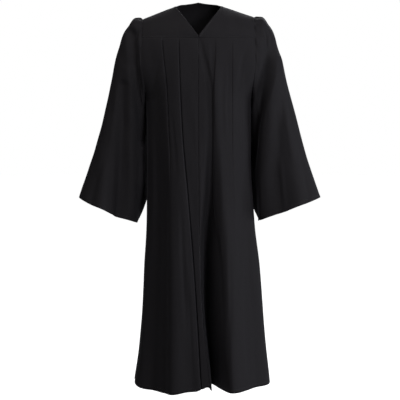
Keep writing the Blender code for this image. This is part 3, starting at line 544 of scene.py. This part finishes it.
def frontPanel(side):
    # Rows down the cloth by columns that follow its pleats, each strip shared out evenly between two lines
    plan = frontPanels[side]
    drops, sideTurns = panelDrops(side, -1, plan["armholeSteps"], plan["lowerSteps"])
    otherDrops = panelDrops(-side, -1, plan["armholeSteps"], plan["lowerSteps"])[0]
    middleDrops = 0.5 * (drops + otherDrops)
    middleX = through(foldDrops, centreX, middleDrops)
    middle = turnAt(middleX + side * gown["centreGap"] / 2, middleDrops)
    sideTurns = sideTurns - side * seamTurn(gown["sideSeam"] / 2, 0.12) * (drops >= gown["underarmDrop"] - 1e-6)
    marks = [sideTurns if side < 0 else middle]
    folds = {fold["name"]: fold for fold in frontFolds}
    for line in plan["lines"]:
        if line["fold"] is None:
            marks.append(middle if side < 0 else sideTurns)
            continue
        if line["fold"] == "zip":
            marks.append(turnAt(middleX + side * zipSize["half"], middleDrops))
            continue
        fold = folds[line["fold"]]
        x = through(foldDrops, fold["x"], drops)
        if line["side"] > 0:
            x = x + widthAt(fold["right"], drops)
        if line["side"] < 0:
            x = x - widthAt(fold["left"], drops)
        marks.append(turnAt(x, drops))
    turns = [marks[0][:, None]]
    for start, end, line in zip(marks[:-1], marks[1:], plan["lines"]):
        share = np.arange(1, line["strips"] + 1) / line["strips"]
        turns.append(start[:, None] + (end - start)[:, None] * share)
    turns = np.concatenate(turns, axis=1)
    toMiddle = np.clip(np.sin(turns) ** 2, 0, 1)
    toMiddle[:, -1 if side < 0 else 0] = 1
    levels = between(drops[:, None], middleDrops[:, None], toMiddle)
    grid = bodyPoint(turns, levels, -1)
    dip = through(hemDip["x"], hemDip["drop"], grid[..., 0])
    grid[..., 2] -= dip * np.clip(levels / foldDrops[-1] * 4 - 3, 0, 1) ** 2
    grid[0, :, 2] -= gown["yokeStitch"]
    normal = outNormal(grid, np.array([0.0, 0.1, 0.0]) * np.array([1, 1, 0]) + grid * np.array([0, 0, 1]))
    rise = creaseRise(grid, creases["front"]) + slackRise(grid, 0.0009)
    grid = grid + normal * (rise * edgeFade(grid, 0.022))[..., None]
    return underSeam(grid, normal)


def backPanel():
    # Side seam to side seam, rows down the cloth
    drops, leftTurns = panelDrops(-1, 1, 36, 100)
    dropsRight, rightTurns = panelDrops(1, 1, 36, 100)
    low = drops >= gown["underarmDrop"] - 1e-6
    leftTurns = leftTurns + seamTurn(gown["sideSeam"] / 2, 0.12) * low
    rightTurns = rightTurns - seamTurn(gown["sideSeam"] / 2, 0.12) * low
    share = np.linspace(0, 1, 201)
    turns = leftTurns[:, None] + (rightTurns - leftTurns)[:, None] * share
    levels = drops[:, None] + (dropsRight - drops)[:, None] * share
    grid = bodyPoint(turns, levels, 1)
    grid[0, :, 2] -= gown["yokeStitch"]
    normal = outNormal(grid, grid * np.array([0, 0, 1]))
    small = smooth(0, 0.010, levels - gown["backYokeDrop"]) * (1 - smooth(0.03, 0.14, levels - gown["backYokeDrop"]))
    gather = 0.0011 * small * np.cos(330 * grid[..., 0] + 5 * np.sin(31 * grid[..., 0])) * np.sin(turns) ** 0.5
    rise = creaseRise(grid, creases["back"]) + slackRise(grid, 0.0009)
    grid = grid + normal * (rise * edgeFade(grid, 0.022) + gather)[..., None]
    return underSeam(grid, normal)


# Sleeves: rings between the outer and the inner edge, and the gathers of the cap
sleeveSize = dict(
    rings=150, strips=220, cuffBackDrop={-1: 0.017, 1: 0.015}, cuffFrontLift={-1: 0.0, 1: 0.006},
    gathers=7, gatherRise=0.0022, gatherLength=0.20, fineGathers=23, fineRise=0.0009, fineLength=0.09)


def sleeveGrid(side):
    # Each ring is an ellipse leaning from the outer edge down to the inner one, moved along its normal by the folds
    table = sleeveTables[side]
    rows = column(table, "along")
    angles = np.linspace(0, 2 * np.pi, sleeveSize["strips"] + 1)[:-1]
    angles = angles - 0.45 * np.sin(angles)
    alongs = np.linspace(0, 1, sleeveSize["rings"] + 1) ** 1.25
    angle = angles[None, :]
    along = alongs[:, None]

    def edge(key, part):
        sign = -1 if part == 2 else 1
        return through(rows, [row[key][part] * sign for row in table], along)

    across = np.cos(angle)
    deep = np.sin(angle)
    depth = np.where(deep > 0, -through(rows, column(table, "front"), along),
                     -through(rows, column(table, "back"), along))
    point = [between(edge("inner", part), edge("outer", part), 0.5 + 0.5 * across) for part in range(3)]
    x = point[0]
    y = point[1] + depth * deep
    z = point[2] - sleeveSize["cuffBackDrop"][side] * np.clip(-deep, 0, 1) * along ** 3
    z = z + sleeveSize["cuffFrontLift"][side] * np.clip(deep, 0, 1) * along ** 3
    grid = np.stack(np.broadcast_arrays(x, y, z), axis=-1)
    half = np.where(angles <= np.pi, angles, 2 * np.pi - angles)
    front = armholePoint(half, side, -1)
    back = armholePoint(half, side, 1)
    seamLine = np.where((angles <= np.pi)[:, None], front, back)
    seamLine[:, 0] += side * gown["sleeveSeam"]
    fade = np.clip(1 - along / 0.30, 0, 1)[..., None] ** 2
    grid = grid + (seamLine - grid[0])[None] * fade
    ring = np.concatenate([grid[:, -1:], grid, grid[:, :1]], axis=1)
    normal = outNormal(ring, ring.mean(axis=1, keepdims=True))[:, 1:-1]
    signed = np.where(angle > np.pi, angle - 2 * np.pi, angle)
    cap = np.clip(np.cos(angle * 0.5) ** 2 * 1.6 - 0.5, 0, 1)
    swell = np.clip(along / 0.03, 0, 1) * np.clip(1 - along / sleeveSize["gatherLength"], 0, 1)
    rise = sleeveSize["gatherRise"] * cap * np.cos(sleeveSize["gathers"] * 2.35 * signed) * swell
    short = smooth(0, 0.012, along) * (1 - smooth(0.25, 1, along / sleeveSize["fineLength"]))
    fine = np.cos(sleeveSize["fineGathers"] * signed + 2.5 * np.sin(3 * signed))
    rise = rise + sleeveSize["fineRise"] * cap * fine * short
    for fold in sleeveFolds:
        if fold["side"] != side:
            continue
        near, share = alongPath(grid[..., 0], grid[..., 2], fold["path"])
        facing = np.clip(fold["face"] * -deep * 2.5, 0, 1)
        height = between(fold["out"][0], fold["out"][1], share) * facing * np.clip(along / 0.10, 0, 1)
        if "ends" in fold:
            height = height * smooth(0, 0.2, share) * smooth(0, 0.3, 1 - share)
        rise = rise + height * bump(near, fold["wide"], fold["wide"])
    small = creaseRise(grid, creases["sleeveRight" if side < 0 else "sleeveLeft"], facing=-deep * np.ones_like(along))
    calm = smooth(0, 0.05, along) * smooth(0, 0.03, 1.0 - along)
    rise = rise + small * calm + slackRise(grid, 0.0014) * calm
    grid = grid + normal * rise[..., None]
    hug = bump(angle - np.pi, 0.9, 0.9) * smooth(0, 0.03, along) * (1 - smooth(0.10, 0.25, along))
    grid[..., 0] -= side * 0.006 * hug
    drop = -grid[..., 2]
    started = np.clip(along / 0.08, 0, 1)
    edgeX = np.zeros(drop.shape)
    for face in (-1, 1):
        left, right, depth = bodySize(np.maximum(drop, gown["underarmDrop"]), face)
        reach = left if side < 0 else right
        inside = np.clip(np.abs(grid[..., 1]) / depth, 0, 1) ** gown["roundness"]
        clear = between(0.0006, gown["sleeveClear"][face], smooth(0.330, 0.480, drop))
        bodyX = reach * (1 - inside) ** (1 / gown["roundness"]) + clear * started
        edgeX = np.where(grid[..., 1] * face >= 0, bodyX, edgeX)
    below = np.clip((drop - gown["underarmDrop"]) / 0.02 + 0.5, 0, 1)
    edgeX = between(seamLine[None, :, 0] * side, edgeX, below)
    away = grid[..., 0] * side - edgeX
    blur = started * between(0.0010, 0.0030, smooth(0.330, 0.480, drop))
    grid[..., 0] = side * (edgeX + 0.5 * (away + np.sqrt(away ** 2 + blur ** 2)))
    # The seam allowance turned in under the body's edge
    allowance = grid[:1] * np.array([1.0, 0.985, 1.0])
    allowance[..., 0] -= side * 0.006
    allowance[..., 2] = between(allowance[..., 2], -0.17, 0.012)
    return np.concatenate([allowance, grid])


def makeMesh(name, grids, ring=False, flip=False):
    # One mesh from point grids, with a UV map in metres: distance along each row and down each column
    points = []
    faces = []
    maps = []
    count = 0
    for grid in grids:
        rows, columns = grid.shape[:2]
        index = np.arange(rows * columns).reshape(rows, columns) + count
        after = np.roll(index, -1, axis=1) if ring else index[:, 1:]
        here = index if ring else index[:, :-1]
        quads = np.stack([here[:-1], here[1:], after[1:], after[:-1]], axis=-1)
        closed = np.concatenate([grid, grid[:, :1]], axis=1) if ring else grid
        u = np.concatenate([np.zeros((rows, 1)), np.cumsum(np.linalg.norm(np.diff(closed, axis=1), axis=-1), axis=1)],
                           axis=1)
        v = np.concatenate([np.zeros((1, closed.shape[1])), -np.cumsum(np.linalg.norm(np.diff(closed, axis=0), axis=-1),
                                                                       axis=0)])
        flat = np.stack([u, v], axis=-1)
        corners = np.stack([flat[:-1, :-1], flat[1:, :-1], flat[1:, 1:], flat[:-1, 1:]], axis=2)
        if flip:
            quads = quads[..., ::-1]
            corners = corners[:, :, ::-1]
        points.append(grid.reshape(-1, 3))
        faces.append(quads.reshape(-1, 4))
        maps.append(corners.reshape(-1, 2))
        count += rows * columns
    points = np.concatenate(points)
    faces = np.concatenate(faces)
    mesh = bpy.data.meshes.new(name)
    mesh.vertices.add(len(points))
    mesh.vertices.foreach_set("co", points.astype(np.float32).ravel())
    mesh.loops.add(faces.size)
    mesh.loops.foreach_set("vertex_index", faces.astype(np.int32).ravel())
    mesh.polygons.add(len(faces))
    mesh.polygons.foreach_set("loop_start", np.arange(0, faces.size, 4, dtype=np.int32))
    mesh.update(calc_edges=True)
    layer = mesh.uv_layers.new(name="cut")
    layer.data.foreach_set("uv", np.concatenate(maps).astype(np.float32).ravel())
    mesh.shade_smooth()
    mesh.validate()
    return mesh


def addPiece(name, mesh, material):
    thing = bpy.data.objects.new(name, mesh)
    bpy.context.scene.collection.objects.link(thing)
    mesh.materials.append(material)
    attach(thing, "root")
    return thing


def addSheet(name, node, grid, material, ring=False, flip=False, thick=None, inside=None):
    # A wall of cloth on the inner side of a point grid, standing for its solid
    thing = addPiece(name, makeMesh(name, grid if isinstance(grid, list) else [grid], ring, flip), material)
    wall = thing.modifiers.new("wall", "SOLIDIFY")
    wall.thickness = thick or gown["wall"]
    wall.offset = -1
    wall.use_rim = True
    # The inner faces take the darker inside cloth, a copy of the cloth darkened as painted shade
    if inside:
        thing.data.materials.append(inside)
        wall.material_offset = 1
    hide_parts(node)
    return thing


def nodeIn(tree, kind, **values):
    # A shader node with its named inputs and settings
    node = tree.nodes.new(kind)
    for key, value in values.items():
        if key in node.inputs:
            node.inputs[key].default_value = value
        else:
            setattr(node, key, value)
    return node


def mathNode(tree, operation, first, second=None):
    # One step of arithmetic between sockets or numbers
    node = tree.nodes.new("ShaderNodeMath")
    node.operation = operation
    for index, value in enumerate((first, second)):
        if value is None:
            continue
        if isinstance(value, (int, float)):
            node.inputs[index].default_value = value
        else:
            tree.links.new(value, node.inputs[index])
    return node.outputs[0]


def makeWeave():
    # Plain weave: the product of a sine across and a sine down, with slubs from noise stretched along the threads
    group = bpy.data.node_groups.new("plainWeave", "ShaderNodeTree")
    for name, kind in (("Cut", "NodeSocketVector"), ("Threads", "NodeSocketFloat"),
                       ("Dark", "NodeSocketColor"), ("Light", "NodeSocketColor")):
        group.interface.new_socket(name, in_out="INPUT", socket_type=kind)
    for name, kind in (("Color", "NodeSocketColor"), ("Height", "NodeSocketFloat"), ("Roughness", "NodeSocketFloat")):
        group.interface.new_socket(name, in_out="OUTPUT", socket_type=kind)
    links = group.links
    start = group.nodes.new("NodeGroupInput")
    end = group.nodes.new("NodeGroupOutput")
    parts = group.nodes.new("ShaderNodeSeparateXYZ")
    links.new(start.outputs["Cut"], parts.inputs[0])
    rate = mathNode(group, "MULTIPLY", start.outputs["Threads"], 3.14159)
    warp = mathNode(group, "SINE", mathNode(group, "MULTIPLY", parts.outputs["X"], rate))
    weft = mathNode(group, "SINE", mathNode(group, "MULTIPLY", parts.outputs["Y"], rate))
    weave = mathNode(group, "MULTIPLY", warp, weft)
    slubs = []
    for scale in ((900.0, 22.0, 1.0), (30.0, 800.0, 1.0)):
        stretch = nodeIn(group, "ShaderNodeMapping", Scale=scale)
        links.new(start.outputs["Cut"], stretch.inputs["Vector"])
        noise = nodeIn(group, "ShaderNodeTexNoise", Scale=1.0, Detail=2.0)
        links.new(stretch.outputs[0], noise.inputs["Vector"])
        slubs.append(noise.outputs["Fac"])
    slub = mathNode(group, "ADD", mathNode(group, "MULTIPLY", slubs[0], 0.6), mathNode(group, "MULTIPLY", slubs[1], 0.4))
    height = mathNode(group, "ADD", mathNode(group, "MULTIPLY", weave, 0.5), slub)
    links.new(height, end.inputs["Height"])
    tint = group.nodes.new("ShaderNodeMix")
    tint.data_type = "RGBA"
    links.new(mathNode(group, "ADD", mathNode(group, "MULTIPLY", slub, 1.4), -0.2), tint.inputs["Factor"])
    links.new(start.outputs["Dark"], tint.inputs["A"])
    links.new(start.outputs["Light"], tint.inputs["B"])
    links.new(tint.outputs["Result"], end.inputs["Color"])
    rough = mathNode(group, "ADD", mathNode(group, "MULTIPLY", slub, 0.20), 0.70)
    links.new(rough, end.inputs["Roughness"])
    return group


clothLook = dict(
    threads=1500.0, dark=(0.0083, 0.0078, 0.0090, 1), light=(0.0130, 0.0121, 0.0136, 1),
    sheen=0.05, sheenRoughness=0.35, sheenTint=(0.86, 0.86, 1.0, 1), specular=0.10, bump=0.00006, crinkle=0.0011)
# The inside of the cloth: the same weave, darker and with less sheen, as painted shade for the dim inside of the gown
insideShadeLook = dict(
    threads=1500.0, dark=(0.0030, 0.0027, 0.0038, 1), light=(0.0050, 0.0044, 0.0062, 1),
    sheen=0.02, sheenRoughness=0.5, sheenTint=(0.86, 0.86, 1.0, 1), specular=0.12, bump=0.00006, crinkle=0.0011)
tapeLook = dict(
    threads=900.0, dark=(0.0060, 0.0060, 0.0066, 1), light=(0.0105, 0.0105, 0.0115, 1),
    sheen=0.08, sheenRoughness=0.4, sheenTint=(1, 1, 1, 1), specular=0.35, bump=0.00010, crinkle=0.0)


def makeCloth(name, look, weave):
    # Matt woven cloth: the weave colours it and raises it, and soft noise makes it a little uneven
    material = bpy.data.materials.new(name)
    material.use_nodes = True
    tree = material.node_tree
    shader = tree.nodes["Principled BSDF"]
    cut = nodeIn(tree, "ShaderNodeUVMap", uv_map="cut")
    threads = tree.nodes.new("ShaderNodeGroup")
    threads.node_tree = weave
    threads.inputs["Threads"].default_value = look["threads"]
    threads.inputs["Dark"].default_value = look["dark"]
    threads.inputs["Light"].default_value = look["light"]
    tree.links.new(cut.outputs[0], threads.inputs["Cut"])
    place = nodeIn(tree, "ShaderNodeTexCoord")
    stretch = nodeIn(tree, "ShaderNodeMapping", Scale=(1.0, 1.0, 0.28))
    tree.links.new(place.outputs["Object"], stretch.inputs["Vector"])
    crinkle = nodeIn(tree, "ShaderNodeTexNoise", Scale=34.0, Detail=3.0, Roughness=0.55)
    tree.links.new(stretch.outputs[0], crinkle.inputs["Vector"])
    tree.links.new(threads.outputs["Color"], shader.inputs["Base Color"])
    tree.links.new(threads.outputs["Roughness"], shader.inputs["Roughness"])
    fine = nodeIn(tree, "ShaderNodeBump", Strength=0.6, Distance=look["bump"])
    tree.links.new(threads.outputs["Height"], fine.inputs["Height"])
    last = fine
    if look["crinkle"]:
        last = nodeIn(tree, "ShaderNodeBump", Strength=0.8, Distance=look["crinkle"])
        tree.links.new(crinkle.outputs["Fac"], last.inputs["Height"])
        tree.links.new(fine.outputs[0], last.inputs["Normal"])
    tree.links.new(last.outputs[0], shader.inputs["Normal"])
    shader.inputs["Specular IOR Level"].default_value = look["specular"]
    shader.inputs["Sheen Weight"].default_value = look["sheen"]
    shader.inputs["Sheen Roughness"].default_value = look["sheenRoughness"]
    shader.inputs["Sheen Tint"].default_value = look["sheenTint"]
    return material


def makeThread(name, dark, light, roughness):
    # Twisted sewing thread: fine noise in two shades
    material = bpy.data.materials.new(name)
    material.use_nodes = True
    tree = material.node_tree
    shader = tree.nodes["Principled BSDF"]
    place = nodeIn(tree, "ShaderNodeTexCoord")
    noise = nodeIn(tree, "ShaderNodeTexNoise", Scale=2600.0, Detail=2.0)
    tree.links.new(place.outputs["Object"], noise.inputs["Vector"])
    ramp = nodeIn(tree, "ShaderNodeValToRGB")
    ramp.color_ramp.elements[0].color = dark
    ramp.color_ramp.elements[1].color = light
    tree.links.new(noise.outputs["Fac"], ramp.inputs["Fac"])
    tree.links.new(ramp.outputs["Color"], shader.inputs["Base Color"])
    relief = nodeIn(tree, "ShaderNodeBump", Strength=0.5, Distance=0.00005)
    tree.links.new(noise.outputs["Fac"], relief.inputs["Height"])
    tree.links.new(relief.outputs[0], shader.inputs["Normal"])
    shader.inputs["Roughness"].default_value = roughness
    shader.inputs["Specular IOR Level"].default_value = 0.4
    return material


weave = makeWeave()
clothMaterial = makeCloth("mattGownCloth", clothLook, weave)
# The inner faces of every cloth wall get this darker copy of the cloth: painted shade
insideShadeMaterial = makeCloth("mattGownClothInsidePaintedShade", insideShadeLook, weave)
tapeMaterial = makeCloth("wovenZipTape", tapeLook, weave)
threadMaterial = makeThread("blackSewingThread", (0.010, 0.010, 0.011, 1), (0.028, 0.027, 0.030, 1), 0.55)
coilMaterial = makeThread("nylonZipCoil", (0.006, 0.006, 0.007, 1), (0.016, 0.016, 0.018, 1), 0.35)
print("materials made")

yokeAcross = np.linspace(0, 1, 57)
yokeDown = np.linspace(0, 1, 41)
neckEdge = dict(wide=0.006, rise=0.0011)


def finishFrontYoke(side):
    # The yoke with a turned neck edge: a low bump as wide as the turning along the neckline
    grid = frontYoke(side, yokeAcross ** 1.25, yokeDown)
    normal = gridNormal(grid)
    normal = normal * np.sign(-normal[..., 1:2] + 0.4 * normal[..., 2:3])
    fromNeck = np.linalg.norm(grid - grid[:, :1], axis=-1)
    fold = neckEdge["rise"] * np.clip(np.sin(np.pi * np.clip(fromNeck / neckEdge["wide"], 0, 1)), 0, 1)
    soft = slackRise(grid, 0.0009) * edgeFade(grid, 0.02)
    return grid + normal * (fold * smooth(0, 0.02, yokeDown)[:, None] + soft)[..., None]


rightYoke = finishFrontYoke(-1)
leftYoke = finishFrontYoke(1)
addSheet("yoke_front_right_cloth", "yoke_front_right", rightYoke, clothMaterial, flip=True, inside=insideShadeMaterial)
addSheet("yoke_front_left_cloth", "yoke_front_left", leftYoke, clothMaterial, inside=insideShadeMaterial)

neckShare = (gown["neckHalf"] + gown["seam"]) / (gown["shoulderHalf"] - gown["seam"] / 2)
backAcross = np.concatenate([
    np.linspace(0, 0.5 - 0.5 * neckShare, 31)[:-1],
    0.5 - 0.5 * neckShare * np.cos(np.linspace(0, np.pi, 73)),
    np.linspace(0.5 + 0.5 * neckShare, 1, 31)[1:],
])
backYokeGrid = backYoke(backAcross, np.linspace(0, 1, 49))
addSheet("yoke_back_cloth", "yoke_back", backYokeGrid, clothMaterial, inside=insideShadeMaterial)
print("yokes made")

def underlap():
    # Below the zip the left front turns in behind the right one: points of both fronts, moved in by the wall
    rows = leftFront[:, 0, 2] < -zipSize["end"] - 0.003
    middle = 0.5 * (rightFront[:, -1] + leftFront[:, 0])
    columns = [rightFront[:, -6], rightFront[:, -4], rightFront[:, -2], middle, leftFront[:, 1], leftFront[:, 3]]
    grid = np.stack(columns, axis=1)[rows]
    normal = gridNormal(grid)
    grid = grid + normal * np.sign(normal[..., 1:2]) * 0.0016
    grid[-1, :, 2] += 0.0020
    return grid


rightFront = frontPanel(-1)
leftFront = frontPanel(1)
backGrid = backPanel()
addSheet("front_right_cloth", "front_right", rightFront, clothMaterial, inside=insideShadeMaterial)
addSheet("front_left_cloth", "front_left", [leftFront, underlap()], clothMaterial, inside=insideShadeMaterial)
addSheet("back_cloth", "back", backGrid, clothMaterial, flip=True, inside=insideShadeMaterial)
print("fronts and back made")

rightSleeve = sleeveGrid(-1)
leftSleeve = sleeveGrid(1)
addSheet("sleeve_right_cloth", "sleeve_right", rightSleeve, clothMaterial, ring=True, inside=insideShadeMaterial)
addSheet("sleeve_left_cloth", "sleeve_left", leftSleeve, clothMaterial, ring=True, flip=True, inside=insideShadeMaterial)
print("sleeves made")


def zipGrids():
    # The fronts' own points beside the centre moved in by the wall, and a toothed coil on their middle line
    rows = leftFront[:, 0, 2] > -zipSize["end"]
    middle = 0.5 * (rightFront[:, -1] + leftFront[:, 0])
    columns = [rightFront[:, -8], rightFront[:, -5], rightFront[:, -3], middle, leftFront[:, 2], leftFront[:, 4],
               leftFront[:, 7]]
    grid = np.stack(columns, axis=1)[rows]
    normal = gridNormal(grid)
    normal = normal * np.sign(normal[..., 1:2])
    tape = (grid + normal * 0.0019)[:, 1:6]
    tape[0, :, 2] -= 0.003
    line = (grid + normal * 0.00152)[:, 3]
    heights = np.arange(-line[1, 2], zipSize["end"] - 0.01, zipSize["pitch"] / 4)
    spine = np.stack([np.interp(heights, -line[:, 2], line[:, part]) for part in range(3)], axis=-1)
    side = np.array([1.0, 0.0, 0.0])
    out = np.array([0.0, -1.0, 0.0])
    turn = np.linspace(0, 2 * np.pi, 9)[:-1]
    tooth = 0.75 + 0.25 * np.cos(2 * np.pi * heights / zipSize["pitch"])
    wave = 0.0003 * np.sin(2 * np.pi * heights / zipSize["pitch"])
    coil = spine[:, None] + side * (zipSize["coilHalf"] * np.cos(turn)[None, :, None] * tooth[:, None, None]
                                    + wave[:, None, None])
    coil = coil + out * zipSize["coilRise"] * np.sin(turn)[None, :, None]
    return tape, coil


zipTape, zipCoil = zipGrids()
addSheet("zip_tape_cloth", "zip_tape", zipTape, tapeMaterial, thick=zipSize["wall"])
addPiece("zip_coil", makeMesh("zip_coil", [zipCoil], ring=True), coilMaterial)
print("zip made")

# Sewing: each stitch is a short thread lying on the cloth
stitchSize = dict(length=0.0026, gap=0.0009, thick=0.00022, hem=0.012, neck=0.0068, yoke=0.0022, cuff=0.012)


def lineOn(grid, distance, down=True, fromEnd=False):
    # The line on a grid at a fixed distance from its first or last row or column
    work = grid if down else np.swapaxes(grid, 0, 1)
    if fromEnd:
        work = work[::-1]
    run = np.linalg.norm(np.diff(work, axis=0), axis=-1)
    run = np.concatenate([np.zeros((1, work.shape[1])), np.cumsum(run, axis=0)])
    row = np.clip((run < distance).sum(axis=0) - 1, 0, len(work) - 2)
    pick = np.arange(work.shape[1])
    share = (distance - run[row, pick]) / (run[row + 1, pick] - run[row, pick])
    return work[row, pick] * (1 - share[:, None]) + work[row + 1, pick] * share[:, None]


def stitches(line, centre):
    # Capsules along a line: an ellipse of six points whose size is the root of a sine along each stitch
    step = np.linalg.norm(np.diff(line, axis=0), axis=-1)
    run = np.concatenate([[0], np.cumsum(step)])
    count = int(run[-1] / (stitchSize["length"] + stitchSize["gap"]))
    starts = (np.arange(count) + 0.2) * run[-1] / count
    share = np.linspace(0, 1, 5)
    at = starts[:, None] + share[None, :] * stitchSize["length"]
    spine = np.stack([np.interp(at, run, line[:, part]) for part in range(3)], axis=-1)
    way = np.gradient(spine, axis=1)
    way = way / np.linalg.norm(way, axis=-1, keepdims=True)
    out = spine - centre(spine)
    out = out - (out * way).sum(axis=-1, keepdims=True) * way
    out = out / np.linalg.norm(out, axis=-1, keepdims=True)
    side = np.cross(way, out)
    turn = np.linspace(0, 2 * np.pi, 7)[:-1]
    size = stitchSize["thick"] * np.sqrt(np.clip(np.sin(np.pi * share), 0.02, 1))
    size = size[None, :, None, None]
    ring = spine[:, :, None] + side[:, :, None] * np.cos(turn)[None, None, :, None] * size
    ring = ring + out[:, :, None] * (np.sin(turn)[None, None, :, None] * size * 0.7 + 0.00006)
    return [ring[index] for index in range(count)]


def axisOf(x, y):
    def centre(spine):
        return np.stack([np.full(spine.shape[:-1], x), np.full(spine.shape[:-1], y), spine[..., 2]], axis=-1)
    return centre


def sleeveAxis(grid):
    def centre(spine):
        return np.broadcast_to(grid[-6].mean(axis=0), spine.shape)
    return centre


def closeRing(line):
    return np.concatenate([line, line[:1]])


rows = dict(
    stitches_fronts=[
        stitches(lineOn(rightFront, stitchSize["hem"], fromEnd=True), axisOf(-0.05, 0.0)),
        stitches(lineOn(leftFront, stitchSize["hem"], fromEnd=True), axisOf(0.08, 0.0)),
    ],
    stitches_back=[stitches(lineOn(backGrid, stitchSize["hem"], fromEnd=True), axisOf(0.0, 0.0))],
    stitches_yokes=[
        stitches(lineOn(rightYoke, stitchSize["neck"], down=False), axisOf(-0.05, 0.02)),
        stitches(lineOn(leftYoke, stitchSize["neck"], down=False), axisOf(0.05, 0.02)),
        stitches(lineOn(rightYoke, stitchSize["yoke"], fromEnd=True), axisOf(-0.05, 0.0)),
        stitches(lineOn(leftYoke, stitchSize["yoke"], fromEnd=True), axisOf(0.05, 0.0)),
        stitches(lineOn(backYokeGrid, stitchSize["yoke"], fromEnd=True), axisOf(0.0, 0.0)),
    ],
    stitches_cuffs=[
        stitches(closeRing(lineOn(rightSleeve, stitchSize["cuff"], fromEnd=True)), sleeveAxis(rightSleeve)),
        stitches(closeRing(lineOn(leftSleeve, stitchSize["cuff"], fromEnd=True)), sleeveAxis(leftSleeve)),
    ],
)
for name, lines in rows.items():
    grids = [grid for line in lines for grid in line]
    addPiece(name, makeMesh(name, grids, ring=True), threadMaterial)
print("sewing made")

# Studio
studio = dict(
    cameraPlace=(0.005, -4.5, -0.30), cameraTarget=(0.005, 0.0, -0.6376), lens=122.2,
    floorHeight=-1.46, floorRadius=16.0, floorColour=(0.42, 0.42, 0.42, 1), floorGlow=1.0,
    world=(0.95, 0.96, 1.0, 1), ambient=0.02,
    key=dict(place=(2.05, -3.30, 0.80), size=1.4, power=100.0, colour=(0.97, 0.97, 1.0)),
    side=dict(place=(4.12, -0.73, -0.23), size=1.6, power=104.0, colour=(0.93, 0.95, 1.0)),
    fill=dict(place=(-0.80, -0.95, 1.60), size=1.3, power=28.0, colour=(1.0, 0.96, 0.94)),
    back=dict(place=(0.8, 3.4, 1.8), size=2.6, power=85.0, colour=(1.0, 1.0, 1.0)),
)


def aim(thing, place, target):
    thing.location = place
    thing.rotation_mode = "QUATERNION"
    thing.rotation_quaternion = (Vector(target) - Vector(place)).to_track_quat("-Z", "Y")


def makeStudio():
    # A round pale floor under the gown, four soft square lights and a bright even world
    turn = np.linspace(0, 2 * np.pi, 97)[:-1]
    reach = studio["floorRadius"] * np.array([0.0001, 0.2, 0.5, 1.0])
    grid = np.stack(np.broadcast_arrays(reach[:, None] * np.cos(turn), reach[:, None] * np.sin(turn),
                                        studio["floorHeight"]), axis=-1)
    floor = bpy.data.objects.new("floor", makeMesh("floor", [grid], ring=True))
    bpy.context.scene.collection.objects.link(floor)
    material = bpy.data.materials.new("paleFloor")
    material.use_nodes = True
    shader = material.node_tree.nodes["Principled BSDF"]
    shader.inputs["Base Color"].default_value = studio["floorColour"]
    shader.inputs["Roughness"].default_value = 0.9
    shader.inputs["Specular IOR Level"].default_value = 0.1
    shader.inputs["Emission Color"].default_value = (1, 1, 1, 1)
    seen = nodeIn(material.node_tree, "ShaderNodeLightPath")
    glow = mathNode(material.node_tree, "MULTIPLY", seen.outputs["Is Camera Ray"], studio["floorGlow"])
    material.node_tree.links.new(glow, shader.inputs["Emission Strength"])
    floor.data.materials.append(material)
    for name in ("key", "side", "fill", "back"):
        look = studio[name]
        light = bpy.data.lights.new(name, "AREA")
        light.shape = "SQUARE"
        light.size = look["size"]
        light.energy = look["power"]
        light.color = look["colour"]
        lamp = bpy.data.objects.new(name, light)
        bpy.context.scene.collection.objects.link(lamp)
        aim(lamp, look["place"], (0.0, 0.0, -0.6))
    world = bpy.data.worlds.new("studio")
    world.use_nodes = True
    bpy.context.scene.world = world
    tree = world.node_tree
    background = tree.nodes["Background"]
    background.inputs["Color"].default_value = studio["world"]
    background.inputs["Strength"].default_value = studio["ambient"]
    white = nodeIn(tree, "ShaderNodeBackground", Color=(1, 1, 1, 1), Strength=1.0)
    choice = nodeIn(tree, "ShaderNodeMixShader")
    ray = nodeIn(tree, "ShaderNodeLightPath")
    tree.links.new(ray.outputs["Is Camera Ray"], choice.inputs[0])
    tree.links.new(background.outputs[0], choice.inputs[1])
    tree.links.new(white.outputs[0], choice.inputs[2])
    tree.links.new(choice.outputs[0], tree.nodes["World Output"].inputs["Surface"])
    bpy.context.scene.view_settings.view_transform = "Standard"
    camera = bpy.data.cameras.new("camera")
    camera.lens = studio["lens"]
    camera.sensor_width = 36.0
    camera.clip_end = 60.0
    eye = bpy.data.objects.new("camera", camera)
    bpy.context.scene.collection.objects.link(eye)
    aim(eye, studio["cameraPlace"], studio["cameraTarget"])
    bpy.context.scene.camera = eye


makeStudio()
print("studio made")
